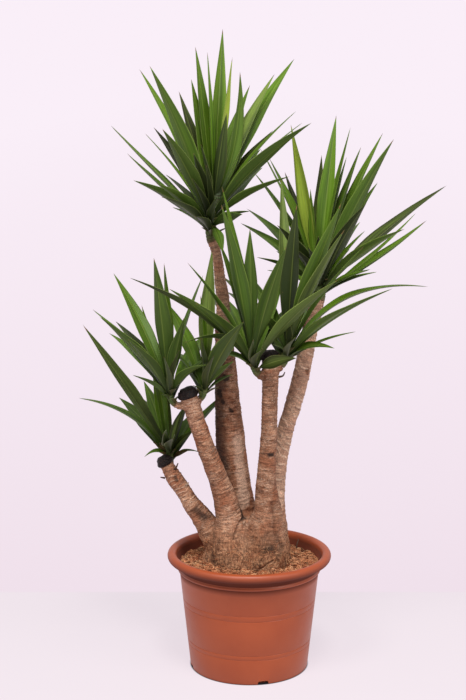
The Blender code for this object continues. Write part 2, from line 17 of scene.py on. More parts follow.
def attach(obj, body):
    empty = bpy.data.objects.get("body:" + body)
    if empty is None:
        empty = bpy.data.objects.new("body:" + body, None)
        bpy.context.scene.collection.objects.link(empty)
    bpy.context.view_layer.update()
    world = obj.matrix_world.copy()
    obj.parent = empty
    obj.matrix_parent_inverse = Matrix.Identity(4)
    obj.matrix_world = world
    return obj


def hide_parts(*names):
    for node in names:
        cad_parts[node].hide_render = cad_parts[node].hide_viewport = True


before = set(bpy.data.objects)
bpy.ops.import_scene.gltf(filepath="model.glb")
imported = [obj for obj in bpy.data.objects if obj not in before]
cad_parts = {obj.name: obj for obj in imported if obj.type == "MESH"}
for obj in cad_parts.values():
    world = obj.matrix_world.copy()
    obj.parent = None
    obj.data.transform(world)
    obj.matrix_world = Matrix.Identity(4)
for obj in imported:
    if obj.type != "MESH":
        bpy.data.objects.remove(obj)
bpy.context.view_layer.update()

GAP = 0.0003  # clearance between neighbours, as in the model

# The camera, as fitted to the photograph's rim and foot.
CAMERA_PLACE = (-0.0397, -3.525, 1.433)
CAMERA_DOWN = math.radians(10.375)
CAMERA_LENS = 77.14
SENSOR_WIDTH = 36

# The studio: the floor and the glowing backdrop behind it.
BACKDROP = (0.955, 0.862, 0.940)
BACKDROP_FOOT = (0.872, 0.752, 0.832)
BACKDROP_LIGHT = (0.93, 0.90, 0.92)  # its colour where it lights the plant
SEAM = 0.513  # how far behind the pot the floor meets the backdrop
SEAM_HALF = 0.006
FADE = (2.0, 6.0)  # how far out the floor turns into the backdrop on the other sides
FLOOR_SIZE = 300
FLOOR_GLOW = (0.715, 0.642, 0.697)
# Painted shadow under the pot: the floor there keeps only this share of its light and glow.
FLOOR_UNDER_POT = 0.02  # of its light, as seen through the drainage notches
WORLD_LIGHT = 0.30  # strength of the backdrop where it lights the plant
WORLD_SHEEN = 0.75  # strength of the backdrop in reflections

# The lights: name, place, target, size and power.
LIGHTS = (
    ("key", (-1.7, -2.4, 3.8), (0, 0, 0.6), 1.4, 84),
    ("fill", (2.6, -2.0, 2.4), (0, 0, 0.6), 1.8, 42),
    ("top", (0.2, -2.1, 4.3), (0, 0, 0.5), 1.1, 120),
)

# The pot.
RIM_RADIUS = 0.200
RIM_TUBE = 0.011
RIM_HEIGHT = 0.2794
RIM_ARC = (-95, 155, 26)  # first and last angle from straight out, and steps
BASE_RADIUS = 0.1444
BASE_EDGE = 0.003
WALL_SLOPE = 0.1073
WALL = 0.004
FLOOR = 0.005
COLLAR_HEIGHT = 0.243
MOUTH_RADIUS = 0.178
MOUTH_LIP = (MOUTH_RADIUS - 0.0004, RIM_HEIGHT - 0.003)
MOUTH_FOOT = (0.1750, 0.262)
POT_SIDES = 144
SHARP_ANGLE = math.radians(40)
MERGE = 1e-5

# The grooves, and their section: places across as shares of half the width, and shares of the depth.
GROOVES = (0.063, 0.074, 0.163, 0.177)
GROOVE_DEPTH = 0.0008
GROOVE_HALF = 0.0008
GROOVE_SECTION = ((-2, 0), (-1, 0.3), (0, 1), (1, 0.3), (2, 0))

# The bead, out and up from the collar, and the hollow between it and the rim, as radius and height.
BEAD = (
    (-0.0002, -0.0020), (0.0002, -0.0004), (0.0022, 0.0004), (0.0040, 0.0022),
    (0.0044, 0.0042), (0.0036, 0.0062), (0.0022, 0.0078), (0.0020, 0.0100),
)
HOLLOW = ((0.1742, 0.2565), (0.1762, 0.2605), (0.1785, 0.2640), (0.1812, 0.2664))

# The middle of the wall over the collar: heights from and to, and radii from and to.
WALL_MIDDLE = ((COLLAR_HEIGHT, 0.268, 0.1683, 0.1780), (0.262, 0.280, 0.1600, 0.1900))

# The drainage notches, and how far their blocks reach in, out and down from the foot of the wall.
DRAIN_SLOTS = 4
DRAIN_WIDTH = 0.026
DRAIN_HEIGHT = 0.009
DRAIN_CORNER = 0.003
DRAIN_TURN = math.radians(-77)
DRAIN_IN, DRAIN_OUT, DRAIN_BELOW = 0.012, 0.020, 0.010

# The coir.
SOIL_TOP = 0.262
SOIL_EDGE = 0.257
SOIL_FLAT = 0.130
FOOT_CENTRE = Vector((-0.008, 0.012, 0))
HOLE_HALF = (0.085, 0.066)
HOLE_DEPTH = 0.080
COIR_SIDES, COIR_RINGS = ((380, 38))
COIR_RELIEF = 0.0058
COIR_REACH = 0.172
BANK_HEIGHT, BANK_REACH = 0.004, 0.12  # of the coir that is banked at the foot

# Its fibres and chips.
FIBRE_SEED = 11
FIBRES = 6000
FIBRE_STEPS = 4
FIBRE_BEND = 1.6
FIBRE_LENGTH = (0.008, 0.034)
FIBRE_RADIUS = (0.00026, 0.00080)
FIBRE_LIFT = 0.003
FIBRE_SEAT = 0.0004
FIBRE_CLEAR = 0.0015  # from the pot's wall
FIBRE_UNDER = 0.004  # how far under the foot's edge they start
CHIPS = 260
CHIP_SIZE = (0.0018, 0.0062)
CHIP_SHAPE = (1.4, 1.0, 0.5)
CHIP_FACES = ((0, 1, 2), (0, 3, 1), (1, 3, 2), (2, 3, 0))
CLING_SEED = 17
CLINGING = 2600  # tries for the fibres that cling to the foot
CLING_TOP = 0.345
CLING_BEND = 0.4
CLING_LENGTH = (0.006, 0.018)
CLING_RADIUS = (0.0002, 0.0005)

# The foot and the canes, as in the model.
FOOT_RINGS = (
    (SOIL_TOP + GAP, 0.108, 0.087),
    (0.278, 0.105, 0.084),
    (0.300, 0.098, 0.078),
    (0.325, 0.088, 0.070),
    (0.352, 0.074, 0.060),
    (0.378, 0.056, 0.046),
)
FOOT_LOBES = 7
FOOT_LOBE_SIZE = 0.035
FOOT_LOBE_TURN = 0.6
FOOT_SIDES = 48
PLUG_TRIM = 0.004
PLUG_HEIGHTS = (SOIL_TOP - 0.03, SOIL_TOP + 0.015)
CANE_SIDES = 24
CANE_STEPS = 5
CANES = {
    "low": (
        (-0.064, -0.006, 0.285, 0.037),
        (-0.082, -0.004, 0.320, 0.033),
        (-0.116, 0.000, 0.374, 0.0250),
        (-0.140, 0.000, 0.406, 0.0215),
        (-0.160, 0.000, 0.440, 0.0195),
        (-0.181, 0.000, 0.470, 0.0200),
        (-0.202, 0.000, 0.508, 0.0160),
    ),
    "left": (
        (-0.045, -0.024, 0.275, 0.048),
        (-0.046, -0.022, 0.330, 0.042),
        (-0.047, -0.020, 0.372, 0.034),
        (-0.058, -0.022, 0.422, 0.029),
        (-0.070, -0.030, 0.463, 0.0245),
        (-0.088, -0.040, 0.515, 0.0228),
        (-0.106, -0.045, 0.565, 0.0214),
        (-0.124, -0.050, 0.620, 0.0202),
        (-0.145, -0.052, 0.686, 0.0210),
    ),
    "tall": (
        (-0.020, 0.040, 0.275, 0.058),
        (-0.030, 0.045, 0.377, 0.047),
        (-0.038, 0.048, 0.453, 0.0405),
        (-0.045, 0.050, 0.542, 0.0366),
        (-0.052, 0.050, 0.635, 0.0316),
        (-0.059, 0.050, 0.761, 0.0250),
        (-0.063, 0.050, 0.828, 0.0198),
        (-0.064, 0.050, 0.901, 0.0156),
        (-0.072, 0.048, 0.962, 0.0132),
        (-0.079, 0.046, 1.015, 0.0122),
        (-0.088, 0.045, 1.045, 0.0140),
    ),
    "front": (
        (0.034, -0.028, 0.275, 0.058),
        (0.038, -0.030, 0.350, 0.047),
        (0.044, -0.030, 0.400, 0.035),
        (0.041, -0.032, 0.438, 0.028),
        (0.040, -0.036, 0.496, 0.0225),
        (0.046, -0.040, 0.584, 0.0198),
        (0.048, -0.040, 0.689, 0.0192),
        (0.049, -0.040, 0.745, 0.0200),
        (0.047, -0.040, 0.774, 0.0190),
    ),
    "right": (
        (0.060, 0.020, 0.275, 0.040),
        (0.062, 0.022, 0.334, 0.033),
        (0.063, 0.028, 0.382, 0.027),
        (0.066, 0.038, 0.452, 0.0225),
        (0.084, 0.046, 0.562, 0.0203),
        (0.115, 0.056, 0.668, 0.0207),
        (0.134, 0.062, 0.752, 0.0200),
        (0.150, 0.068, 0.837, 0.0190),
        (0.167, 0.072, 0.900, 0.0170),
    ),
}
BARK_VOXEL = 0.0026
BARK_SMOOTHING = (0.5, 5)  # strength and rounds

# Each cane's bark: how far apart its leaf scars are and how steeply they slant, how dark (-1) or
# pale (1) it is, and how much of it has pale lips over the scars.
CaneBark = namedtuple("CaneBark", "pitch slant tint lips")
CANE_BARK = {
    "low": CaneBark(0.011, 0.3, 0.08, 0.8),
    "left": CaneBark(0.009, 0.3, -0.04, 0.45),
    "tall": CaneBark(0.010, 0.3, -0.08, 0.3),
    "front": CaneBark(0.0085, 0.3, -0.10, 0.5),
    "right": CaneBark(0.0190, 0.9, 0.46, 1.0),
}

# Stains on the bark, with some painted shadow and painted light among them: two ends, a radius and a tone
# from -1 (black) to 1 (pale).
STAINS = (
    ((-0.178, -0.018, 0.476), (-0.176, -0.018, 0.472), 0.0060, -0.9),
    ((-0.130, -0.022, 0.398), (-0.108, -0.022, 0.380), 0.010, -0.85),
    ((-0.024, 0.012, 0.565), (-0.010, 0.010, 0.410), 0.017, 1.10),
    # Painted shadow: the left side of the tall cane, in the shade of the leaves over it.
    ((-0.080, 0.030, 0.740), (-0.078, 0.020, 0.420), 0.026, -0.70),
    ((-0.038, 0.012, 0.760), (-0.028, 0.012, 0.600), 0.012, 0.25),
    ((-0.043, 0.024, 0.742), (-0.040, 0.024, 0.742), 0.0045, -1.0),
    ((-0.058, 0.022, 0.716), (-0.055, 0.022, 0.712), 0.0060, -1.0),
    ((-0.072, 0.026, 0.678), (-0.070, 0.026, 0.672), 0.0075, -1.0),
    ((-0.065, 0.022, 0.657), (-0.063, 0.022, 0.654), 0.0045, -1.0),
    ((-0.046, 0.020, 0.637), (-0.040, 0.020, 0.632), 0.0045, -1.0),
    ((0.047, -0.058, 0.5440), (0.057, -0.058, 0.5440), 0.0050, -0.9),
    ((0.049, -0.058, 0.5370), (0.055, -0.058, 0.5370), 0.0022, 1.0),
    ((0.036, -0.058, 0.7520), (0.062, -0.056, 0.7540), 0.0022, 0.9),
    ((0.036, -0.058, 0.7300), (0.064, -0.056, 0.7320), 0.0022, 0.9),
    ((0.034, -0.056, 0.7660), (0.062, -0.056, 0.7660), 0.0080, -0.5),
    # Painted shade: a dark line over the bulge at the front of the foot.
    ((0.028, -0.090, 0.320), (0.058, -0.085, 0.314), 0.011, -0.75),
    ((0.045, -0.085, 0.345), (0.085, -0.065, 0.300), 0.024, -0.28),
    ((-0.085, -0.045, 0.292), (-0.080, -0.045, 0.270), 0.012, -0.35),
    # Painted shade: the dark fork between the left and front canes.
    ((-0.010, -0.020, 0.410), (-0.022, -0.030, 0.372), 0.010, -1.00),
    ((0.114, 0.036, 0.719), (0.116, 0.036, 0.716), 0.0040, -0.8),
    ((0.140, 0.046, 0.730), (0.142, 0.046, 0.722), 0.0050, -0.9),
    ((0.078, 0.000, 0.520), (0.078, 0.002, 0.400), 0.014, 0.55),
    # Painted light: the top of the tall cane, paler to make up for the leaves' shade.
    ((-0.064, 0.030, 0.860), (-0.080, 0.030, 1.020), 0.030, 0.40),
)

# Cracks in the foot, as points seen from the front (x, z), with their half width and depth.
CRACKS = (
    (((-0.012, 0.390), (-0.021, 0.374), (-0.029, 0.362), (-0.036, 0.348), (-0.039, 0.336)), 0.0026, 0.006),
    (((0.020, 0.268), (0.034, 0.274), (0.046, 0.284), (0.058, 0.288)), 0.0022, 0.005),
    (((-0.004, 0.400), (-0.010, 0.388)), 0.006, 0.008),
    (((0.055, 0.425), (0.059, 0.390), (0.063, 0.357), (0.071, 0.335), (0.081, 0.312)), 0.0042, 0.0045),
)
# The second number is how much painted shade a crack of the first number's depth gets.
CRACK_DEEP, CRACK_HOLLOW = 0.006, 1.6  # a crack's depth, and how hollow it looks at that depth
CRACK_WANDER = 0.0040

# Twig stubs and a stick on the coir: a tone from dark (-1) to pale (1), and points that each carry a radius.
TWIGS = (
    (-0.9, (0.068, -0.044, 0.731, 0.0030), (0.078, -0.047, 0.734, 0.0020), (0.083, -0.046, 0.743, 0.0011)),
    (-0.9, (-0.187, -0.01, 0.493, 0.0034), (-0.178, -0.012, 0.5, 0.0024), (-0.1725, -0.012, 0.512, 0.0013)),
    (-0.9, (-0.205, -0.008, 0.474, 0.0026), (-0.215, -0.012, 0.477, 0.0013)),
    (-0.4, (-0.154, -0.012, 0.456, 0.0028), (-0.147, -0.012, 0.464, 0.0016)),
    (-0.8, (0.119, 0.094, 0.262, 0.0018), (0.121, 0.098, 0.272, 0.0017), (0.125, 0.100, 0.286, 0.0011)),
)

# Wax on the sawn tops, with its outline as shares of its height and of the cane's width.
SEALED = ("low", "left", "front")
SEAL_HEIGHT = 0.022
SEAL_OVERHANG = 0.0012
SEAL_SIDES = 36
SEAL_OUTLINE = (
    (-0.10, 1.0), (0.0, 1.09), (0.12, 1.13), (0.26, 1.11), (0.32, 1.02), (0.50, 1.0),
    (0.64, 0.95), (0.72, 0.80), (0.84, 0.72), (0.90, 0.5), (0.94, 0.3), (0.95, 0.08),
)
SEAL_LUMPS = ((80, 0.0042), (230, 0.0016))  # scale and size

# Shoots, as in the model, with how many seeded blades and old leaf bases each one has.
Shoot = namedtuple("Shoot", "cane crown radius fillers sheaths seat aim", defaults=(None, None))
SHOOTS = {
    "head_tall": Shoot("tall", (-0.077, 0.045, 1.150), 0.0135, 16, 16),
    "head_right": Shoot("right", (0.157, 0.070, 0.968), 0.0155, 13, 12),
    "head_front_left": Shoot(
        "front", (0.004, -0.055, 0.797), 0.0090, 7, 7, seat=(0.021, -0.048, 0.739), aim=(-0.7, -0.2, 0.7)
    ),
    "head_front_right": Shoot(
        "front", (0.086, -0.035, 0.820), 0.0092, 7, 7, seat=(0.074, -0.036, 0.757), aim=(0.7, 0.1, 0.7)
    ),
    "head_left": Shoot(
        "left", (-0.191, -0.050, 0.722), 0.0080, 6, 7, seat=(-0.176, -0.051, 0.667), aim=(-0.8, 0, 0.6)
    ),
    "head_middle": Shoot(
        "left", (-0.106, -0.045, 0.735), 0.0080, 5, 6, seat=(-0.118, -0.048, 0.679), aim=(0.7, 0.1, 0.7)
    ),
    "head_low": Shoot(
        "low", (-0.198, 0.010, 0.552), 0.0085, 6, 7, seat=(-0.194, 0.030, 0.500), aim=(0.1, 0.7, 0.7)
    ),
}
SHOOT_ELBOW = 0.45
HEEL_EXTRA = 0.0012
HEEL_LOW, HEEL_HIGH = 0.018, 0.008  # how far under its seat a side shoot's stub starts and turns
CORE_START = 0.004
CORE_RISE = 0.016

# Blades: lean from upright to the right and turn to the back in degrees, length in millimetres,
# the width that shows from the front and the full width, bow as a share of the length, and
# where on the shoot the blade grows (0 to 1).
Blade = namedtuple("Blade", "lean turn length show width bow at tone")


def blade(lean, turn, length, show=None, width=None, bow=None, at=None, tone="mid"):
    """A blade as it is listed, with the width that its length gives."""
    return Blade(lean, turn, length, show, width or 24 + 0.047 * length, bow, at, tone)


BLADES = {
    "head_tall": (
        blade(-26, 18, 407, 21),
        blade(-20, -26, 418, 29, tone="light"),
        blade(-23, -44, 349, 28),
        blade(-45, 11, 335, 8, bow=-0.02),
        blade(-47, -10, 258, 7, bow=-0.04),
        blade(-52, -38, 267, 19),
        blade(-44, -44, 230, 21),
        blade(-58, 14, 102, 7),
        blade(-36, 5, 254, 5, width=14),
        blade(-9, 13, 318, 26),
        blade(-6, 10, 385, 24),
        blade(-2, 2, 358, 9, width=30, tone="light"),
        blade(3, 10, 417, 30),
        blade(8, -12, 222, 24, tone="dark"),
        blade(7, 3, 338, 12, width=32, tone="young"),
        blade(11, 10, 315, 22, bow=-0.16),
        blade(25, 26, 392, 26, tone="grey"),
        blade(29, 32, 492, 33, width=50, tone="light"),
        blade(29, 40, 541, 30),
        blade(44, -32, 378, 22),
        blade(45, 6, 299, 5, width=14),
        blade(40, 8, 305, 7, width=20),
        blade(58, -23, 227, 12),
        blade(69, -14, 95, 7),
        blade(157, -42, 86, 19, at=0.4),
        blade(-9, -6, 157, 9, tone="dark"),
        blade(61, -48, 121, 21),
        blade(-15, 22, 320, 26, tone="dark"),
        blade(17, 24, 330, 24),
        blade(-32, 28, 290, 22, tone="dark"),
        blade(37, 30, 280, 20, tone="dark"),
        blade(-12, -38, 210, 22, tone="dark"),
    ),
    "head_right": (
        blade(6, 10, 398, 31, tone="light"),
        blade(-10, 10, 371, 24, tone="young"),
        blade(11, 4, 372, 9, width=32),
        blade(12, 6, 303, 12),
        blade(17, 11, 343, 16),
        blade(23, 14, 401, 19),
        blade(24, -16, 400, 29, width=42, tone="light"),
        blade(21, -44, 329, 28, tone="dark"),
        blade(53, 26, 448, 21, bow=0.06, tone="dark"),
        blade(45, -41, 321, 21),
        blade(58, 21, 332, 14, bow=-0.06),
        blade(51, 10, 296, 7, width=20, bow=-0.08),
        blade(38, 14, 174, 9),
        blade(65, 19, 138, 9),
        blade(65, -14, 143, 7, width=18),
        blade(60, -18, 127, 9),
        blade(-45, 45, 340, 23),
        blade(-53, 33, 276, 21),
        blade(-62, -18, 173, 9),
        blade(-71, 20, 133, 9),
        blade(-22, 11, 307, 16),
        blade(-24, 5, 332, 7, width=20),
        blade(-31, 13, 301, 14),
        blade(-5, 3, 209, 14),
        blade(2, 26, 330, 24, tone="dark"),
        blade(-17, 28, 300, 20, tone="dark"),
        blade(31, 28, 320, 22),
        blade(-4, -36, 150, 22, tone="dark"),
        blade(-34, -34, 220, 20, tone="dark"),
    ),
    "head_front_left": (
        blade(-11, -12, 372, 28, tone="light"),
        blade(-10, 5, 397, 16),
        blade(-1, -10, 304, 31, width=42),
        blade(14, -29, 336, 33),
        blade(-16, 12, 287, 19),
        blade(-51, -20, 377, 15, bow=0.12, tone="dark"),
        blade(-44, -24, 295, 21),
        blade(-32, -10, 281, 9, width=20),
        blade(-37, -38, 270, 21),
        blade(-64, -30, 203, 14, bow=0.4),
        blade(-67, -19, 104, 9, bow=0.25),
        blade(40, -26, 320, 24, tone="grey"),
        blade(64, -40, 130, 24, bow=0.1, tone="dark"),
    ),
    "head_front_right": (
        blade(3, -12, 342, 35, width=48, tone="dark"),
        blade(-2, 10, 392, 28, tone="grey"),
        blade(17, -24, 410, 33, width=46, bow=0.03, tone="light"),
        blade(21, -28, 370, 22, width=42, tone="grey"),
        blade(32, -20, 330, 8, width=24),
        blade(46, -32, 258, 16),
        blade(53, -18, 308, 12),
        blade(65, 14, 390, 9, bow=0.34),
        blade(69, 10, 179, 5, width=14),
        blade(70, -25, 128, 12, bow=0.3),
        blade(-30, -30, 150, 19),
        blade(68, 20, 94, 9),
    ),
    "head_left": (
        blade(-28, 30, 343, 26),
        blade(-5, -14, 326, 33, width=46),
        blade(-2, 2, 281, 14),
        blade(-43, 12, 270, 9),
        blade(-36, -25, 277, 21),
        blade(-29, -35, 215, 21),
        blade(12, -21, 201, 24),
        blade(17, 5, 278, 9),
        blade(-55, -14, 103, 7),
        blade(45, -28, 143, 16, bow=0.25),
        blade(46, 15, 136, 9),
    ),
    "head_middle": (
        blade(3, 10, 306, 31, width=42, tone="grey"),
        blade(24, -45, 310, 33, width=46),
        blade(-29, 41, 274, 28, width=42),
        blade(-46, 29, 175, 5, width=16),
        blade(41, -23, 109, 14),
        blade(56, -8, 79, 5, width=16),
        blade(-3, 2, 193, 9),
    ),
    "head_low": (
        blade(-30, -18, 401, 21, bow=0, tone="olive"),
        blade(-59, 15, 271, 9, bow=0.25),
        blade(-82, -12, 59, 7, width=14, bow=0.6),
        blade(75, 12, 70, 5, width=14, bow=0.4),
        blade(-11, 11, 370, 24),
        blade(-13, 32, 249, 28),
        blade(-3, 12, 169, 20, tone="dark"),
        blade(45, 26, 254, 14),
        blade(18, 26, 146, 16, tone="dark"),
        blade(40, -14, 85, 12, tone="dark"),
        blade(16, -9, 122, 14, tone="dark"),
    ),
}

# The seeded blades, which fill the back and the heart of each head.
FILL_SEED = 7
GOLDEN = 0.618034
FILL_LEAN = 52  # degrees to either side
FILL_TURN = (42, 68)  # degrees to the back or the front
FILL_LENGTH = (210, 340)
FRONT_SHARE = 3  # one filler in this many comes to the front
FRONT_SHOW = 12  # width that shows of those, in millimetres
FRONT_LENGTH = 0.7
FILL_TONES = ("mid", "dark", "mid", "light", "dark", "olive")

# A blade's outline and section.
ROOT_SHARE = 0.34  # of the full width, where the blade leaves the shoot
WIDEST = 0.50  # share of the length where the blade is widest
TIP_POWER = 1.35
SHOW_GAIN = 1.25  # as the fold hides part of the width
CHANNEL = (0.48, 0.26)  # depth of the channel over the half width, at root and tip
THICKNESS = (0.0042, 0.0014)
ELBOW = 0.45  # share of the length at which the bow pulls
DROOP = 0.12  # bow of a level blade that has none listed
TWIST_END = 0.35  # share of the length over which a blade turns its face
ROOT_OUT = 0.7  # of the shoot's radius, from its middle to the middle of a root
LOWEST_AT = 0.12
SPREAD = 85  # degrees off the shoot's axis at which a blade grows lowest
UP = Vector((0, 0, 1))
VIEW_DOWN = math.radians(10.4)  # slope at which the front of the plant is looked at
SIGHT = Vector((0, math.cos(VIEW_DOWN), -math.sin(VIEW_DOWN)))

# Turns in degrees that a packed blade may have had to clear its neighbours, and how much they stretch it.
BENDS = (0, 4, -4, 8, -8, 12, -12, 16, -16, 20, -20, 25, -25, 30, -30, 36, -36)
MOST_STRETCH = 1.35
TIP_NEAR = 0.0015  # how near a blade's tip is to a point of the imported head

# How fine the leaves are, with the places of a section's points from edge (-1) to edge (1).
LEAF_SEED = 5
BLADE_STEPS = 26
UPPER_POINTS = (-1.0, -0.9, -0.62, -0.3, 0.0, 0.3, 0.62, 0.9, 1.0)
LOWER_POINTS = (0.9, 0.62, 0.3, 0.0, -0.3, -0.62, -0.9)
MARGIN_THICKNESS = 0.0006
FOLD_POWER = 1.08  # near 1 for a sharp fold along the middle
WAVE = 0.0011
WAVE_BEATS = (1.2, 2.8)
WAVE_TURN = 6.3
WAVE_SKEW = 1.1
BLADE_LIGHT = (0.82, 1.18)

# Old leaf bases on each shoot, with lengths and widths in millimetres.
SHEATH_LENGTH = (18, 46)
SHEATH_WIDTH = (11, 16)
SHEATH_LEAN, SHEATH_TURN = 62, 58
SHEATH_FROM, SHEATH_SPAN = 0.08, 0.6
SHEATH_TONES = ("dry", "dry", "olive")

# The stem in a head: its girths along the way, and the rings of its old leaves.
STEM_SIDES = 20
STEM_STEPS = 14
STEM_GIRTHS = ((0.25, 0.95), (0.6, 0.9), (1.0, 0.75))
STEM_TIP = 0.2
STEM_RING_STEPS = 4.5
STEM_RING_WIDTH = 0.16


def srgb(red, green, blue):
    """Linear light for a colour given in steps of 0 to 255."""
    shares = [value / 255 for value in (red, green, blue)]
    return tuple(v / 12.92 if v <= 0.04045 else ((v + 0.055) / 1.055) ** 2.4 for v in shares)


def palette(**colours):
    """Linear light for colours that each have a name."""
    return {name: srgb(*steps) for name, steps in colours.items()}


# Tones of the leaves.
TONES = palette(
    dark=(45, 51, 18),
    mid=(74, 101, 20),
    light=(88, 120, 28),
    # A painted sheen: blades whose faces look grey in the light.
    grey=(97, 114, 50),
    young=(138, 156, 52),
    olive=(60, 72, 32),
    dry=(84, 64, 40),
)

# Shades of the coir's fibres and chips, and how common each is.
COIR_TONES = (
    (srgb(246, 194, 146), 3),
    (srgb(230, 160, 112), 5),
    (srgb(194, 119, 80), 5),
    (srgb(134, 74, 48), 4),
    (srgb(50, 30, 22), 4),
)

# Colours within each material.
POT = palette(
    dull=(159, 69, 29),
    bright=(165, 74, 33),
    # The last two colours are painted shade: under the rim and bead, and on the inner wall.
    shadow=(54, 11, 4),
    inside=(52, 21, 14),
)
COIR = palette(
    brown=(116, 64, 42),
    tan=(224, 148, 102),
    straw=(238, 188, 144),
    # The last colour is painted shade between the clumps.
    gap=(40, 21, 13),
)
BARK = palette(
    brown=(130, 82, 56),
    tan=(194, 144, 112),
    red=(154, 88, 56),
    crease=(92, 58, 42),
    thread=(226, 198, 172),
    matted=(90, 56, 38),
    fibre=(206, 152, 112),
    # Pale for pale stains and for painted light.
    worn=(232, 192, 164),
    lip=(238, 206, 178),
    # Dark for dark stains and for painted shadow.
    stain=(36, 25, 20),
    # Painted shade in the scars, folds and cracks.
    hollow=(64, 38, 28),
)
WAX = palette(
    black=(13, 9, 9),
    crust=(40, 27, 24),
    speck=(96, 66, 52),
)
LEAF = palette(
    # The next two are painted light and painted shade in broad bands along the blades.
    band=(128, 156, 62),
    shade=(36, 50, 20),
    under=(58, 74, 38),
    margin=(146, 156, 88),
    # A painted highlight along the fold.
    midrib=(150, 164, 84),
    # Painted shade towards the base, in the heart of each head.
    base=(24, 33, 13),
    root=(150, 150, 88),
    spot=(112, 88, 48),
    dry=(98, 68, 42),
)
STEM = palette(
    brown=(124, 96, 62),
    green=(70, 92, 34),
    patch=(120, 112, 66),
    crown=(40, 54, 22),
    ring=(50, 35, 24),
)
FLOOR_COLOUR = srgb(112, 107, 107)
BLACK = (0, 0, 0)


class Nodes:
    """Short calls for the nodes of a tree."""

    def __init__(self, tree):
        self.tree = tree

    def put(self, socket, value):
        if isinstance(value, bpy.types.NodeSocket):
            self.tree.links.new(value, socket)
        elif socket.type == "RGBA" and len(value) == 3:
            socket.default_value = (*value, 1)
        else:
            socket.default_value = value

    def add(self, kind, inputs, **settings):
        node = self.tree.nodes.new("ShaderNode" + kind)
        for key, value in settings.items():
            setattr(node, key, value)
        for key, value in inputs.items():
            self.put(node.inputs[key], value)
        return node

    def attribute(self, name, output="Fac"):
        return self.add("Attribute", {}, attribute_name=name).outputs[output]

    def place(self):
        return self.add("TexCoord", {}).outputs["Object"]

    def axes(self):
        """The x, y and z of a point."""
        return self.add("SeparateXYZ", {"Vector": self.place()}).outputs

    def reach(self, x, y):
        """How far a point is from the pot's middle line."""
        return self.maths("SQRT", self.plus(self.times(x, x), self.times(y, y)))

    def vector(self, x, y, z):
        return self.add("CombineXYZ", {"X": x, "Y": y, "Z": z}).outputs[0]

    def stretched(self, x, y, z, vector=None):
        return self.add("Mapping", {"Vector": vector or self.place(), "Scale": (x, y, z)}).outputs[0]

    def maths(self, operation, first, second=0.0):
        return self.add("Math", {0: first, 1: second}, operation=operation).outputs[0]

    def times(self, first, second):
        return self.maths("MULTIPLY", first, second)

    def plus(self, first, second):
        return self.maths("ADD", first, second)

    def noise(self, vector, scale, detail=4.0, rough=0.55):
        inputs = {"Vector": vector, "Scale": scale, "Detail": detail, "Roughness": rough}
        return self.add("TexNoise", inputs).outputs["Fac"]

    def cells(self, vector, scale):
        return self.add("TexVoronoi", {"Vector": vector, "Scale": scale}).outputs["Distance"]

    def between(self, value, low, high, first=0.0, last=1.0):
        """The value carried from one range to another, and held at its ends."""
        inputs = {"Value": value, "From Min": low, "From Max": high, "To Min": first, "To Max": last}
        return self.add("MapRange", inputs).outputs["Result"]

    def mix(self, share, first, second, kind="MIX"):
        node = self.add("Mix", {0: share, 6: first, 7: second}, data_type="RGBA", blend_type=kind)
        return node.outputs[2]

    def over(self, colour, tint, value, start, full, share=1.0):
        """A tint laid over a colour, from none of it at one value to a share of it at another."""
        return self.mix(self.between(value, start, full, 0.0, share), colour, tint)

    def scaled(self, colour, factor):
        """A colour made lighter or darker."""
        return self.mix(1.0, colour, self.vector(factor, factor, factor), "MULTIPLY")


class Surface(Nodes):
    """The nodes of one material."""

    def __init__(self, name, roughness, specular=0.5):
        self.mat = bpy.data.materials.new(name)
        self.mat.use_nodes = True
        super().__init__(self.mat.node_tree)
        self.shader = self.tree.nodes["Principled BSDF"]
        self.shader.inputs["Roughness"].default_value = roughness
        self.shader.inputs["Specular IOR Level"].default_value = specular

    def bump(self, height, distance, strength=1.0):
        inputs = {"Height": height, "Distance": distance, "Strength": strength}
        self.put(self.shader.inputs["Normal"], self.add("Bump", inputs).outputs[0])

    def finish(self, colour, roughness=None):
        self.put(self.shader.inputs["Base Color"], colour)
        if roughness is not None:
            self.put(self.shader.inputs["Roughness"], roughness)
        return self.mat


def linked(name, data):
    """A new object in the scene."""
    obj = bpy.data.objects.new(name, data)
    bpy.context.scene.collection.objects.link(obj)
    return obj


def mesh_piece(name, points, faces, mat, values=None, colours=None):
    """A smooth mesh with a value or a colour on each point."""
    mesh = bpy.data.meshes.new(name)
    mesh.from_pydata([tuple(point) for point in points], [], faces)
    for key, numbers in (values or {}).items():
        mesh.attributes.new(key, "FLOAT", "POINT").data.foreach_set("value", np.asarray(numbers, np.float32))
    if colours is not None:
        full = np.ones((len(points), 4), np.float32)
        full[:, :3] = colours
        mesh.attributes.new("tint", "FLOAT_COLOR", "POINT").data.foreach_set("color", full.ravel())
    mesh.materials.append(mat)
    mesh.shade_smooth()
    return linked(name, mesh)


def belongs(obj, node=None):
    """The piece rides on the plant and stands for its node."""
    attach(obj, "root")
    if node is not None:
        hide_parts(node)


def applied(obj):
    """Puts the result of an object's modifiers in its mesh."""
    graph = bpy.context.evaluated_depsgraph_get()
    mesh = bpy.data.meshes.new_from_object(obj.evaluated_get(graph))
    obj.modifiers.clear()
    obj.data = mesh
    return obj


def turns(sides):
    """The angles of equal steps round a circle."""
    return [2 * math.pi * side / sides for side in range(sides)]


def polar(angle, reach, height=0):
    """The place at an angle, a reach from the pot's middle line and a height."""
    return Vector((reach * math.cos(angle), reach * math.sin(angle), height))


def square_to(along):
    """Two directions that are square to a line and to each other."""
    right = Vector((0, 1, 0)).cross(along).normalized()
    return right, along.cross(right)


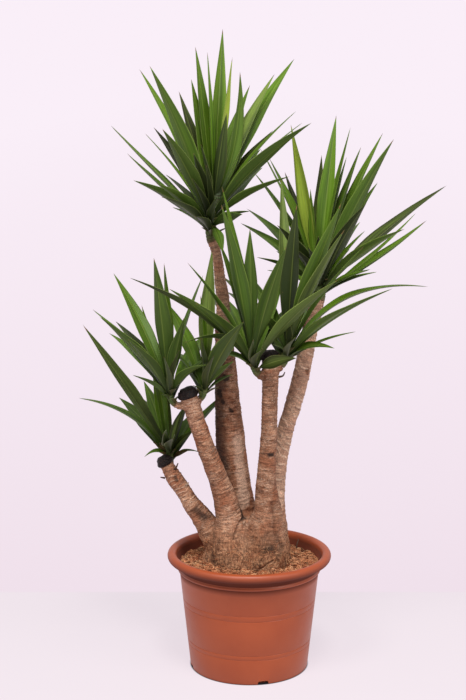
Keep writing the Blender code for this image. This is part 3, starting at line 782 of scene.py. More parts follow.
def smooth_route(stations, steps):
    """A smooth line through stations that each carry a radius."""
    ends = [2 * stations[0] - stations[1], *stations, 2 * stations[-1] - stations[-2]]
    route = []
    for a, b, c, d in zip(ends, ends[1:], ends[2:], ends[3:]):
        for step in range(steps):
            t = step / steps
            route.append(0.5 * (2 * b + (c - a) * t + (2 * a - 5 * b + 4 * c - d) * t * t
                                + (3 * b - a - 3 * c + d) * t * t * t))
    return route + [stations[-1]]


def tube_rings(route, sides):
    """Rings of points round a line whose points each carry a radius."""
    rings = []
    for index, station in enumerate(route):
        before = route[max(index - 1, 0)].xyz
        after = route[min(index + 1, len(route) - 1)].xyz
        right, front = square_to((after - before).normalized())
        spokes = [math.cos(a) * right + math.sin(a) * front for a in turns(sides)]
        rings.append([station.xyz + station.w * spoke for spoke in spokes])
    return rings


def ring_faces(levels, sides):
    """Faces between rings of points, with both ends closed."""
    last = (levels - 1) * sides
    faces = [tuple(range(sides))[::-1], tuple(range(last, last + sides))]
    for low in range(0, last, sides):
        for i in range(sides):
            j = (i + 1) % sides
            faces.append((low + i, low + j, low + sides + j, low + sides + i))
    return faces


class Heap:
    """Points, faces and values of many small shapes that make one piece."""

    def __init__(self):
        self.points, self.faces, self.colours, self.values = [], [], [], {}

    def add(self, points, faces, colours=None, **values):
        first = len(self.points)
        self.points += points
        self.faces += [tuple(first + i for i in face) for face in faces]
        if colours is not None:
            self.colours += colours
        for key, numbers in values.items():
            self.values.setdefault(key, []).extend(numbers)

    def shell(self, rings, colours=None, **values):
        """Adds a closed skin over rings of points."""
        points = [point for ring in rings for point in ring]
        self.add(points, ring_faces(len(rings), len(rings[0])), colours, **values)

    def tube(self, route, sides, tone=None, **values):
        """Adds a closed tube that has one colour or value all over."""
        count = len(route) * sides
        spread = {key: [value] * count for key, value in values.items()}
        self.shell(tube_rings(route, sides), [tone] * count if tone else None, **spread)

    def piece(self, name, mat):
        return mesh_piece(name, self.points, self.faces, mat, self.values, self.colours or None)


def outer_radius(height):
    """The outside radius of the pot's wall at a height."""
    return BASE_RADIUS + WALL_SLOPE * height


def inner_profile():
    """The inside of the pot from its floor to its mouth."""
    return [
        (BASE_RADIUS - WALL, FLOOR),
        (outer_radius(COLLAR_HEIGHT) - WALL, COLLAR_HEIGHT),
        MOUTH_FOOT,
        (MOUTH_RADIUS, RIM_HEIGHT),
    ]


def inner_radius(height):
    """The inside radius of the pot at a height."""
    for (low_radius, low), (high_radius, high) in zip(inner_profile(), inner_profile()[1:]):
        if low <= height <= high:
            return low_radius + (high_radius - low_radius) * (height - low) / (high - low)
    return MOUTH_RADIUS


def rim_arc(first, last, steps):
    """Points of the rolled rim between two angles, in degrees from straight out."""
    centre = RIM_RADIUS - RIM_TUBE
    angles = [math.radians(first + (last - first) * i / steps) for i in range(steps + 1)]
    return [(centre + RIM_TUBE * math.cos(a), RIM_HEIGHT + RIM_TUBE * math.sin(a)) for a in angles]


def groove(height):
    """A thin line pressed into the wall."""
    places = [(height + across * GROOVE_HALF, share * GROOVE_DEPTH) for across, share in GROOVE_SECTION]
    return [(outer_radius(level) - depth, level) for level, depth in places]


def pot_profile():
    """The pot's outline, from the middle of its underside up the outside and down the inside."""
    small = BASE_EDGE / 5
    edge = [(BASE_RADIUS - BASE_EDGE, 0), (BASE_RADIUS - small, small), (outer_radius(BASE_EDGE), BASE_EDGE)]
    wall = [point for height in GROOVES for point in groove(height)]
    bead = [(outer_radius(COLLAR_HEIGHT) + out, COLLAR_HEIGHT + up) for out, up in BEAD]
    outside = [(0, 0)] + edge + wall + bead + list(HOLLOW) + rim_arc(*RIM_ARC)
    return outside + [MOUTH_LIP] + inner_profile()[::-1][1:] + [(0, FLOOR)]


def drain_block(angle):
    """A block that goes through the foot of the wall."""
    out = Vector((math.sin(angle), -math.cos(angle), 0))
    side = Vector((math.cos(angle), math.sin(angle), 0))
    half, shoulder = DRAIN_WIDTH / 2, DRAIN_HEIGHT - DRAIN_CORNER
    outline = [
        (-half, -DRAIN_BELOW),
        (half, -DRAIN_BELOW),
        (half, shoulder),
        (half - DRAIN_CORNER, DRAIN_HEIGHT),
        (DRAIN_CORNER - half, DRAIN_HEIGHT),
        (-half, shoulder),
    ]
    points = []
    for along in (BASE_RADIUS - DRAIN_IN, BASE_RADIUS + DRAIN_OUT):
        points += [out * along + side * across + Vector((0, 0, height)) for across, height in outline]
    return points, [tuple(reversed(face)) for face in ring_faces(2, len(outline))]


def pot_material():
    """Satin terracotta plastic, with painted shade on the underside of the rim, in the hollow under it,
    under the bead and on the inner wall under the rim.
    """
    make = Surface("pot_plastic", 0.42)
    cloud = make.noise(make.place(), 12, 4)
    colour = make.mix(make.between(cloud, 0.35, 0.65), POT["dull"], POT["bright"])
    x, y, height = make.axes()
    reach = make.reach(x, y)
    middle = make.maths("MAXIMUM", *[make.between(height, *stretch) for stretch in WALL_MIDDLE])
    # Painted shade on the underside of the rim, in the hollow below it and under the bead.
    over_bead = make.between(height, COLLAR_HEIGHT + 0.0080, COLLAR_HEIGHT + 0.0105)
    to_rim = make.between(height, RIM_HEIGHT + 0.009, RIM_HEIGHT - 0.010, 0.0, 0.80)
    hollow = make.times(over_bead, to_rim)
    collar = make.between(height, COLLAR_HEIGHT - 0.016, COLLAR_HEIGHT - 0.001, 0.0, 0.75)
    to_bead = make.between(height, COLLAR_HEIGHT + 0.0025, COLLAR_HEIGHT + 0.0005)
    under_bead = make.times(collar, to_bead)
    outside = make.maths("GREATER_THAN", reach, middle)
    shadow = make.times(outside, make.maths("MAXIMUM", hollow, under_bead))
    colour = make.mix(shadow, colour, POT["shadow"])
    # Painted shade on the inner wall, just under the rim.
    under_rim = make.between(height, RIM_HEIGHT + 0.004, RIM_HEIGHT - 0.006, 0.0, 0.62)
    deep = make.times(under_rim, make.between(height, 0.255, 0.257))
    inside = make.times(make.maths("LESS_THAN", reach, middle), deep)
    colour = make.mix(inside, colour, POT["inside"])
    grain = make.noise(make.place(), 1500, 2)
    orange_peel = make.noise(make.place(), 330, 2)
    make.bump(make.plus(make.times(grain, 0.35), orange_peel), 0.00016, 0.7)
    rough = make.between(make.noise(make.place(), 30, 4), 0.3, 0.7, 0.36, 0.44)
    return make.finish(colour, make.plus(rough, make.times(make.maths("MAXIMUM", shadow, inside), 0.7)))


def turned_pot():
    """The pot's outline turned round its middle line."""
    bm = bmesh.new()
    points = [bm.verts.new((radius, 0, height)) for radius, height in pot_profile()]
    edges = [bm.edges.new((a, b)) for a, b in zip(points, points[1:])]
    outline = points + edges
    bmesh.ops.spin(bm, geom=outline, axis=(0, 0, 1), cent=(0, 0, 0), angle=2 * math.pi, steps=POT_SIDES)
    bmesh.ops.remove_doubles(bm, verts=bm.verts, dist=MERGE)
    bmesh.ops.recalc_face_normals(bm, faces=bm.faces)
    mesh = bpy.data.meshes.new("pot_shell")
    bm.to_mesh(mesh)
    bm.free()
    return linked("pot_shell", mesh)


def drain_cutter(mat):
    """The blocks of all drainage notches, with their faces turned outward."""
    blocks = Heap()
    for angle in turns(DRAIN_SLOTS):
        blocks.add(*drain_block(DRAIN_TURN + angle))
    cutter = blocks.piece("slots", mat)
    bm = bmesh.new()
    bm.from_mesh(cutter.data)
    bmesh.ops.recalc_face_normals(bm, faces=bm.faces)
    bm.to_mesh(cutter.data)
    bm.free()
    return cutter


def make_pot():
    """The turned pot, with its drainage notches cut out."""
    pot = turned_pot()
    mat = pot_material()
    cutter = drain_cutter(mat)
    difference = pot.modifiers.new("Cut", "BOOLEAN")
    difference.operation = "DIFFERENCE"
    difference.solver = "EXACT"
    difference.object = cutter
    applied(pot)
    bpy.data.objects.remove(cutter, do_unlink=True)
    pot.data.materials.clear()
    pot.data.materials.append(mat)
    pot.data.shade_smooth()
    pot.data.set_sharp_from_angle(angle=SHARP_ANGLE)
    belongs(pot, "pot")


def foot_edge(angle, height, half=HOLE_HALF):
    """A point on the edge of the foot's hole, or of another oval round the same middle."""
    flat = FOOT_CENTRE + Vector((half[0] * math.cos(angle), half[1] * math.sin(angle), 0))
    return flat + Vector((0, 0, height))


def foot_share(x, y, trim=0.0):
    """How far out a place is from the foot's middle, with 1 for the foot's edge."""
    flat = Vector((x, y, 0)) - FOOT_CENTRE
    return math.hypot(flat.x / (FOOT_RINGS[0][1] - trim), flat.y / (FOOT_RINGS[0][2] - trim))


def coir_clumps(place):
    """How far the matted clumps stand up, about -1 to 1."""
    return 1.1 * noise.fractal(place * 46, 0.8, 2.1, 4) + 0.4 * noise.noise(place * 16)


def coir_height(x, y):
    """The top of the coir: level in the middle, a little lower at the wall, rough and banked at the foot."""
    fall = min(max((math.hypot(x, y) - SOIL_FLAT) / (MOUTH_RADIUS - SOIL_FLAT), 0), 1)
    level = SOIL_TOP + (SOIL_EDGE - SOIL_TOP) * fall
    bank = BANK_HEIGHT * math.exp(-max(foot_share(x, y) - 1, 0) / BANK_REACH)
    return level + bank + COIR_RELIEF * coir_clumps(Vector((x, y, 0)))


def coir_material():
    """Brown coconut fibre: matted clumps with painted shade in the gaps between them, and paler threads."""
    make = Surface("coir_mat", 0.95, specular=0.2)
    threads = make.noise(make.stretched(1, 0.35, 1), 420, 5, 0.7)
    clumps = make.noise(make.place(), 60, 4)
    fine = make.noise(make.stretched(0.3, 1, 1), 700, 4, 0.7)
    colour = make.mix(make.between(threads, 0.36, 0.62), COIR["brown"], COIR["tan"])
    colour = make.over(colour, COIR["straw"], fine, 0.45, 0.7, 0.7)
    colour = make.scaled(colour, make.between(clumps, 0.3, 0.7, 0.75, 1.15))
    # Painted shade in the gaps, where the clumps are low.
    colour = make.over(colour, COIR["gap"], make.attribute("rise"), -0.08, -0.50, 0.92)
    make.bump(make.plus(threads, fine), 0.0022)
    return make.finish(colour)


def fibre_material():
    """A fibre's own colour, with a fine grain."""
    make = Surface("coir_fibre", 0.85, specular=0.25)
    grain = make.between(make.noise(make.place(), 900, 3), 0.3, 0.7, 0.8, 1.15)
    return make.finish(make.scaled(make.attribute("tint", "Color"), grain))


def coir_ring(share):
    """Points of the coir's top, between the foot's hole (0) and the pot's wall (1)."""
    ring = []
    for angle in turns(COIR_SIDES):
        outer = polar(angle, 1) * (inner_radius(SOIL_EDGE) - GAP)
        flat = foot_edge(angle, 0).lerp(outer, share)
        height = coir_height(flat.x, flat.y)
        reach = min(flat.xy.length, inner_radius(height) - GAP)
        ring.append(Vector((*(flat.xy.normalized() * reach), height)))
    return ring


def make_coir():
    """The coir from the wall of the foot's hole over its top and down the pot's wall."""
    around = turns(COIR_SIDES)
    levels = [[foot_edge(a, height) for a in around] for height in (SOIL_TOP - HOLE_DEPTH, SOIL_EDGE - 0.01)]
    levels += [coir_ring(ring / COIR_RINGS) for ring in range(COIR_RINGS + 1)]
    for height in (SOIL_EDGE - 0.012, COLLAR_HEIGHT - 0.01, FLOOR + GAP):
        levels.append([polar(a, inner_radius(height) - GAP, height) for a in around])
    points = [point for level in levels for point in level]
    faces = [face[::-1] for face in ring_faces(len(levels), COIR_SIDES)]
    rise = [coir_clumps(Vector((point.x, point.y, 0))) for point in points]
    belongs(mesh_piece("coir_bed", points, faces, coir_material(), {"rise": rise}), "soil")


def on_coir(draw):
    """A random place on the coir, outside the foot."""
    while True:
        angle, reach = draw.uniform(0, 2 * math.pi), COIR_REACH * math.sqrt(draw.random())
        x, y = reach * math.cos(angle), reach * math.sin(angle)
        if foot_share(x, y, FIBRE_UNDER) > 1:
            return x, y


def coir_tone(draw):
    """A random shade of coir."""
    shades, weights = zip(*COIR_TONES)
    tone = draw.choices(shades, weights)[0]
    light = draw.uniform(0.85, 1.15)
    return tuple(part * light for part in tone)


def lay_fibre(heap, draw):
    """A curved fibre that lies on the coir and stops at the pot's wall."""
    x, y = on_coir(draw)
    heading, bend = draw.uniform(0, 2 * math.pi), draw.uniform(-FIBRE_BEND, FIBRE_BEND)
    length, radius = draw.uniform(*FIBRE_LENGTH), draw.uniform(*FIBRE_RADIUS)
    lift, tone = draw.uniform(0.0, FIBRE_LIFT), coir_tone(draw)
    route = []
    for step in range(FIBRE_STEPS + 1):
        share = step / FIBRE_STEPS
        way = heading + bend * share
        x += math.cos(way) * length / FIBRE_STEPS
        y += math.sin(way) * length / FIBRE_STEPS
        height = coir_height(x, y)
        if math.hypot(x, y) > inner_radius(height) - FIBRE_CLEAR:
            break
        arch = lift * 4 * share * (1 - share)
        route.append(Vector((x, y, height + FIBRE_SEAT + arch, radius * (1.1 - 0.6 * share))))
    if len(route) > 2:
        heap.tube(route, 3, tone)


def drop_chip(heap, draw):
    """A flat chip of husk with four corners, where it is clear of the pot's wall."""
    x, y = on_coir(draw)
    size, tone = draw.uniform(*CHIP_SIZE), coir_tone(draw)
    middle = Vector((x, y, coir_height(x, y) + FIBRE_SEAT))
    if middle.xy.length + CHIP_SHAPE[0] * size > inner_radius(middle.z - size) - GAP:
        return
    corners = [Vector([draw.uniform(-1, 1) for _ in range(3)]).normalized() * size for _ in range(4)]
    points = [middle + Vector([part * shape for part, shape in zip(end, CHIP_SHAPE)]) for end in corners]
    heap.add(points, CHIP_FACES, [tone] * 4)


def scatter_fibres():
    """Loose fibres and chips all over the coir."""
    draw = random.Random(FIBRE_SEED)
    heap = Heap()
    for _ in range(FIBRES):
        lay_fibre(heap, draw)
    for _ in range(CHIPS):
        drop_chip(heap, draw)
    belongs(heap.piece("coir_fibres", fibre_material()))


def cane_route(name):
    """A cane's stations, with one more at the coir's level."""
    stations = [Vector(station) for station in CANES[name]]
    x, y, _, radius = stations[0]
    return [Vector((x, y, SOIL_TOP + GAP, radius)), *stations]


def cane_top(name):
    """The middle of a cane's top, the way it points and its radius."""
    below, top = cane_route(name)[-2:]
    return top.xyz, (top.xyz - below.xyz).normalized(), top.w


def nearest_on_cane(name, point):
    """The point of a cane's middle line that is nearest to a point."""
    return min((station.xyz for station in smooth_route(cane_route(name), 8)),
               key=lambda place: (place - point).length)


def seat_of(shoot):
    """Where a shoot starts, and the way it sets out."""
    if shoot.seat is None:
        return cane_top(shoot.cane)[:2]
    return Vector(shoot.seat), Vector(shoot.aim).normalized()


def foot_rings():
    """Rings of the lobed foot, from the coir up."""
    rings = []
    for height, *half in FOOT_RINGS:
        ring = []
        for angle in turns(FOOT_SIDES):
            swell = 1 + FOOT_LOBE_SIZE * math.cos(FOOT_LOBES * angle + FOOT_LOBE_TURN)
            flat = Vector((half[0] * math.cos(angle), half[1] * math.sin(angle), 0)) * swell
            ring.append(FOOT_CENTRE + flat + Vector((0, 0, height)))
        rings.append(ring)
    return rings


def stub_route(shoot):
    """The stub that a side shoot stands on, from inside its cane."""
    seat, aim = seat_of(shoot)
    start = nearest_on_cane(shoot.cane, seat - HEEL_LOW * aim)
    return [Vector((*place, shoot.radius + HEEL_EXTRA)) for place in (start, seat - HEEL_HIGH * aim, seat)]


def rough_trunk():
    """The foot, the canes and the stubs as overlapping bodies, joined by a voxel remesh."""
    heap = Heap()
    heap.shell(foot_rings())
    plug = [half - PLUG_TRIM for half in HOLE_HALF]
    heap.shell([[foot_edge(a, height, plug) for a in turns(FOOT_SIDES)] for height in PLUG_HEIGHTS])
    for name in CANES:
        heap.tube(smooth_route(cane_route(name), CANE_STEPS), CANE_SIDES)
    for shoot in SHOOTS.values():
        if shoot.seat is not None:
            heap.tube(stub_route(shoot), CANE_SIDES)
    obj = heap.piece("rough_trunk", bpy.data.materials.new("none"))
    remesh = obj.modifiers.new("Remesh", "REMESH")
    remesh.mode = "VOXEL"
    remesh.voxel_size = BARK_VOXEL
    soften = obj.modifiers.new("Smooth", "SMOOTH")
    soften.factor, soften.iterations = BARK_SMOOTHING
    return applied(obj)


def along_canes(points):
    """For each point: its cane's number, the length along it, the turn round it and the cane's radius."""
    best = np.full(len(points), np.inf)
    number = np.zeros(len(points), int)
    found = np.zeros((3, len(points)))
    for index, name in enumerate(CANES):
        route = smooth_route(cane_route(name), 12)
        line = np.array([station.xyz for station in route])
        radius = np.array([station.w for station in route])
        run = np.concatenate([[0], np.cumsum(np.linalg.norm(np.diff(line, axis=0), axis=1))])
        way = np.gradient(line, run, axis=0)
        for start in range(0, len(points), 8000):
            part = slice(start, start + 8000)
            apart = np.linalg.norm(points[part, None] - line[None], axis=2) - radius[None]
            near = apart.argmin(axis=1)
            value = apart[np.arange(len(near)), near]
            closer = value < best[part]
            offset = points[part] - line[near]
            length = run[near] + (offset * way[near]).sum(axis=1)
            here = np.stack([length, np.arctan2(offset[:, 1], offset[:, 0]), radius[near]])
            best[part] = np.where(closer, value, best[part])
            number[part] = np.where(closer, index, number[part])
            found[:, part] = np.where(closer, here, found[:, part])
    return number, *found


def by_cane(key, number):
    """One value of the bark of the cane that each point belongs to."""
    return np.array([getattr(CANE_BARK[name], key) for name in CANES])[number]


def smoothstep(value, low, high):
    """A soft step from 0 at one value to 1 at another."""
    share = np.clip((value - low) / (high - low), 0, 1)
    return share * share * (3 - 2 * share)


def segment_distance(points, first, last):
    """How far each point is from a straight line between two places."""
    first, last = np.array(first), np.array(last)
    way = last - first
    share = np.clip(((points - first) @ way) / max(way @ way, 1e-12), 0, 1)
    return np.linalg.norm(points - first - share[..., None] * way, axis=-1)


def noise_at(points, scales, seed=0.0):
    """Soft noise at each point, stretched by three scales."""
    shift = Vector((seed, 1.7 * seed, -2.3 * seed))
    return np.array([noise.noise(Vector(point) + shift) for point in points * np.array(scales)])


def bark_form(points):
    """For each point: its cane, how far it stands out, the painted shade of its hollows, its pale lip and
    its skin place.
    """
    number, length, turn, radius = along_canes(points)
    skin = np.stack([radius * np.cos(turn), radius * np.sin(turn), length + 0.37 * number], axis=1)
    foot = 1 - smoothstep(points[:, 2], 0.34, 0.44)

    # Leaf scars: a groove and a lip at each ring, stronger in some places than in others.
    wobble = noise_at(skin, (45, 45, 12), 3.0)
    slant = by_cane("slant", number) * np.sin(turn + 2 * number)
    phase = length / by_cane("pitch", number) + 0.9 * wobble + slant
    part = phase - np.floor(phase)
    scar = np.exp(-((part - 0.5) / 0.12) ** 2)
    lip = np.exp(-((part - 0.74) / 0.12) ** 2)
    strength = 0.25 + 0.75 * smoothstep(noise_at(skin, (40, 40, 60), 13.0), -0.25, 0.25)
    out = (1 - 0.6 * foot) * (0.0010 * lip - 0.0011 * scar) * strength

    # Lumps and wrinkles, and the folds and knots of the foot.
    out += 0.0013 * noise_at(points, (40, 40, 40), 5.0)
    out += 0.0008 * noise_at(skin, (45, 45, 190), 7.0)
    out += 0.0003 * noise_at(skin, (110, 110, 330), 9.0)
    knots = noise_at(points, (75, 75, 60), 19.0)
    out += foot * (0.0040 * noise_at(points, (34, 34, 7), 17.0) + 0.0020 * knots)

    # Painted shade in the scars' grooves and in the folds between the foot's knots.
    hollow = scar * strength * (1 - 0.7 * foot) + 0.6 * foot * smoothstep(-knots, 0.15, 0.6)
    pale = lip * smoothstep(noise_at(skin, (30, 30, 60), 23.0), -0.05, 0.20)
    pale *= (1 - foot) * by_cane("lips", number)
    return number, out, hollow, pale, skin


def crack_depth(points, normals):
    """How deep the foot's cracks cut in, seen from the front."""
    depth = np.zeros(len(points))
    flat = points[:, [0, 2]].copy()
    flat[:, 0] += CRACK_WANDER * noise_at(points, (70, 70, 70), 31.0)
    front = (normals[:, 1] < -0.15) * (points[:, 1] < -0.02)
    for line, half, deep in CRACKS:
        for first, last in zip(line, line[1:]):
            near = segment_distance(flat, first, last)
            depth = np.maximum(depth, deep * np.exp(-(near / half) ** 2) * front)
    return depth


def stain_at(points):
    """The tone of the stains, painted shadow and painted light at each point, from black (-1) to pale (1).
    """
    stain = np.zeros(len(points))
    ragged = 1 + 0.5 * noise_at(points, (60, 60, 60), 37.0) + 0.3 * noise_at(points, (190, 190, 190), 39.0)
    for first, last, radius, tone in STAINS:
        near = segment_distance(points, first, last) * ragged
        stain += tone * np.exp(-(near / radius) ** 4)
    return np.clip(stain, -1.5, 1.5)


def bark_material():
    """Tan bark ringed with fine wrinkles, red-brown in patches of wear, with stains, pale flakes, painted
    shadow and light, and painted shade in its hollows.
    """
    make = Surface("bark_skin", 0.85, specular=0.25)
    place, skin = make.place(), make.attribute("skin", "Vector")
    broad = make.noise(place, 22, 4)
    patch = make.noise(make.stretched(1, 1, 2.2, skin), 38, 5, 0.65)
    speck = make.noise(place, 330, 4, 0.75)
    wrinkle = make.noise(make.stretched(1, 1, 7, skin), 42, 5, 0.62)
    thread = make.noise(make.stretched(1, 1, 4.5, skin), 60, 4, 0.6)
    colour = make.mix(make.between(patch, 0.36, 0.64), BARK["brown"], BARK["tan"])
    colour = make.over(colour, BARK["red"], broad, 0.46, 0.66, 0.6)
    colour = make.over(colour, BARK["crease"], wrinkle, 0.50, 0.34, 0.75)
    line = make.maths("ABSOLUTE", make.maths("SUBTRACT", thread, 0.5))
    pale = make.times(make.between(line, 0.022, 0.004), make.between(broad, 0.60, 0.40, 0.0, 0.8))
    colour = make.mix(pale, colour, BARK["thread"])
    fibre = make.noise(make.stretched(1, 1, 0.35), 300, 4, 0.7)
    matted = make.mix(make.between(fibre, 0.38, 0.60), BARK["matted"], BARK["fibre"])
    colour = make.mix(make.times(make.attribute("foot"), 0.75), colour, matted)
    shade = make.attribute("shade")
    # Pale stains, and painted light.
    colour = make.over(colour, BARK["worn"], shade, 0.0, 1.0, 0.80)
    colour = make.over(colour, BARK["lip"], make.attribute("pale"), 0.2, 0.8, 0.8)
    colour = make.scaled(colour, make.between(speck, 0.32, 0.68, 0.52, 1.38))
    colour = make.scaled(colour, make.between(wrinkle, 0.36, 0.60, 0.80, 1.10))
    # Dark stains, and painted shadow.
    colour = make.over(colour, BARK["stain"], shade, 0.0, -1.0, 0.95)
    # Painted shade in the scars, folds and cracks.
    hollow = make.times(make.attribute("cavity"), make.between(speck, 0.3, 0.6, 0.9, 0.5))
    colour = make.over(colour, BARK["hollow"], hollow, 0.0, 1.0, 0.6)
    make.bump(make.plus(make.times(wrinkle, 1.5), make.plus(speck, fibre)), 0.0018)
    return make.finish(colour, make.between(patch, 0.3, 0.7, 0.72, 0.92))


def read_points(mesh, key):
    """The places or normals of a mesh's points."""
    numbers = np.empty(len(mesh.vertices) * 3)
    mesh.vertices.foreach_get(key, numbers)
    return numbers.reshape(-1, 3)


def make_trunk():
    """The bark over the rough trunk, with its twigs and the coir that clings to the foot."""
    rough = rough_trunk()
    points, normals = read_points(rough.data, "co"), read_points(rough.data, "normal")
    faces = [tuple(polygon.vertices) for polygon in rough.data.polygons]
    bpy.data.objects.remove(rough, do_unlink=True)
    number, out, cavity, pale, skin = bark_form(points)
    cracks = crack_depth(points, normals)
    # Painted shade in the cracks, by how deep they cut.
    cavity = np.clip(cavity + CRACK_HOLLOW * cracks / CRACK_DEEP, 0, 1)
    tint = by_cane("tint", number) * smoothstep(points[:, 2], 0.33, 0.45)
    tint += 0.25 * noise_at(points, (14, 14, 6), 41.0)
    shade = np.clip(stain_at(points) + tint, -1, 1)
    points = points + normals * (out - cracks)[:, None]
    foot = 1 - smoothstep(points[:, 2] + 0.02 * noise_at(points, (30, 30, 30), 43.0), 0.27, 0.40)
    values = {"shade": shade, "cavity": cavity, "pale": pale, "foot": foot}
    mat = bark_material()
    bark = mesh_piece("trunk_bark", points, faces, mat, values)
    bark.data.attributes.new("skin", "FLOAT_VECTOR", "POINT").data.foreach_set("vector", skin.ravel())
    belongs(bark, "trunk")
    make_twigs(mat)
    cling_fibres(points, normals)


def cling_fibres(points, normals):
    """Coir that clings to the lowest part of the foot."""
    draw = random.Random(CLING_SEED)
    heap = Heap()
    low = np.flatnonzero(points[:, 2] < CLING_TOP)
    for _ in range(CLINGING):
        index = low[draw.randrange(len(low))]
        height = points[index][2] - SOIL_TOP
        if height > (CLING_TOP - SOIL_TOP) * draw.random() or height < 0:
            continue
        normal = Vector(normals[index])
        way = normal.orthogonal()
        way.rotate(Quaternion(normal, draw.uniform(0, 6.28)))
        bend = normal.cross(way) * draw.uniform(-CLING_BEND, CLING_BEND)
        length, radius = draw.uniform(*CLING_LENGTH), draw.uniform(*CLING_RADIUS)
        route = []
        for share in (0, 0.33, 0.67, 1):
            lift = FIBRE_SEAT + 0.0012 * share * (1 - share)
            place = Vector(points[index]) + (way + bend * share) * (length * share) + normal * lift
            route.append(Vector((*place, radius * (1 - 0.5 * share))))
        heap.tube(route, 3, coir_tone(draw))
    belongs(heap.piece("foot_fibres", fibre_material()))


def make_twigs(mat):
    """The stubs of twigs on the canes, and a stick on the coir."""
    heap = Heap()
    for shade, *line in TWIGS:
        heap.tube(smooth_route([Vector(station) for station in line], 4), 8, shade=shade)
    belongs(heap.piece("twigs", mat))


def wax_material():
    """Near-black crusted wax with brown specks."""
    make = Surface("wax_skin", 0.5, specular=0.18)
    crust = make.noise(make.place(), 170, 5, 0.65)
    colour = make.mix(make.between(crust, 0.4, 0.68), WAX["black"], WAX["crust"])
    specks = make.between(make.cells(make.place(), 190), 0.05, 0.3, 0.4, 0.0)
    colour = make.mix(specks, colour, WAX["speck"])
    make.bump(make.noise(make.place(), 300, 5), 0.0030)
    return make.finish(colour, make.between(crust, 0.35, 0.7, 0.36, 0.7))


def make_seal(name, mat):
    """A lumpy dome of dark wax in layers on a sawn top."""
    top, along, radius = cane_top(name)
    right, front = square_to(along)
    rings = []
    for share, width in SEAL_OUTLINE:
        ring = []
        for angle in turns(SEAL_SIDES):
            way = math.cos(angle) * right + math.sin(angle) * front
            reach = (radius + SEAL_OVERHANG) * width
            place = top + along * (GAP + share * SEAL_HEIGHT) + way * reach
            lump = sum(noise.noise(place * scale) * size for scale, size in SEAL_LUMPS)
            ring.append(place + (way * 0.7 + along * 0.4) * lump)
        rings.append(ring)
    heap = Heap()
    heap.shell(rings)
    belongs(heap.piece("wax_" + name, mat), "wax_seal_" + name)


def shoot_point(shoot, share):
    """A point of the shoot's middle line, from its seat (0) to its crown (1)."""
    seat, aim = seat_of(shoot)
    crown = Vector(shoot.crown)
    elbow = seat + aim * SHOOT_ELBOW * (crown - seat).length
    return seat.lerp(elbow, share).lerp(elbow.lerp(crown, share), share)


def shoot_axis(shoot):
    """The way that a shoot's crown points."""
    return (shoot_point(shoot, 1) - shoot_point(shoot, 0.5)).normalized()


def half_width(share, width):
    """Half the blade's width at a share of its length."""
    if share < WIDEST:
        rise = 0.5 - 0.5 * math.cos(math.pi * share / WIDEST)
        return 0.5 * width * (ROOT_SHARE + (1 - ROOT_SHARE) * rise)
    return 0.5 * width * (1 - ((share - WIDEST) / (1 - WIDEST)) ** TIP_POWER)


def blade_aim(spec):
    """The way from a blade's root to its tip."""
    lean, turn = math.radians(spec.lean), math.radians(spec.turn)
    return Vector((math.sin(lean) * math.cos(turn), math.sin(turn), math.cos(lean) * math.cos(turn)))


def blade_curve(shoot, spec):
    """The root, elbow and tip of a blade's middle line."""
    aim, axis = blade_aim(spec), shoot_axis(shoot)
    off = math.degrees(axis.angle(aim))
    at = spec.at if spec.at is not None else 1 - (1 - LOWEST_AT) * min(off / SPREAD, 1)
    outward = (aim - axis * axis.dot(aim)) * ROOT_OUT * shoot.radius
    root = shoot_point(shoot, at) + outward
    length = spec.length / 1000
    lift = UP - aim * UP.dot(aim)
    if spec.bow is None:
        lift *= DROOP
    else:
        lift = lift.normalized() * spec.bow
    return root, root + (aim * ELBOW + lift) * length, root + aim * length


def blade_across(shoot, spec):
    """The directions across a blade at its root and further out, where its face has turned."""
    aim = blade_aim(spec)
    root = shoot_axis(shoot).cross(aim).normalized()
    if spec.show is None:
        return root, root
    face = SIGHT.cross(aim).normalized()
    edge = aim.cross(face)
    share = min(SHOW_GAIN * spec.show / spec.width, 1)
    face *= math.copysign(share, root.dot(face))
    edge *= math.copysign(math.sqrt(1 - share * share), root.dot(edge))
    return root, face + edge


def turned_by(spec, bend):
    """The blade turned to the back, and as long as before when it is seen from the front."""
    turn = spec.turn + bend
    stretch = math.cos(math.radians(spec.turn)) / math.cos(math.radians(turn))
    return spec._replace(turn=turn, length=spec.length * min(stretch, MOST_STRETCH))


def filler(draw, index):
    """A seeded blade for the back or the heart of a head."""
    spread = (index * GOLDEN) % 1
    front = index % FRONT_SHARE == 1
    lean = FILL_LEAN * (2 * spread - 1)
    turn = draw.uniform(*FILL_TURN) * (-1 if front else 1)
    length = draw.uniform(*FILL_LENGTH) * (FRONT_LENGTH if front else 1)
    tone = FILL_TONES[index % len(FILL_TONES)]
    return blade(round(lean), round(turn), round(length), FRONT_SHOW if front else None, tone=tone)


def as_packed(shoot, spec, points):
    """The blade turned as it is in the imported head, or None where the head has no such blade."""
    for bend in BENDS:
        trial = turned_by(spec, bend)
        if points.find(blade_curve(shoot, trial)[2])[2] < TIP_NEAR:
            return trial
    return None


def head_points(name):
    """The points of a packed head, in a tree that finds the nearest."""
    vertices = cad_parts[name].data.vertices
    tree = KDTree(len(vertices))
    for index, vertex in enumerate(vertices):
        tree.insert(vertex.co, index)
    tree.balance()
    return tree


def packed_blades():
    """Every head's blades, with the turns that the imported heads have."""
    draw = random.Random(FILL_SEED)
    grown = {}
    for name, shoot in SHOOTS.items():
        specs = [*BLADES[name], *(filler(draw, index) for index in range(shoot.fillers))]
        points = head_points(name)
        found = [as_packed(shoot, spec, points) for spec in specs]
        grown[name] = [spec for spec in found if spec is not None]
    return grown


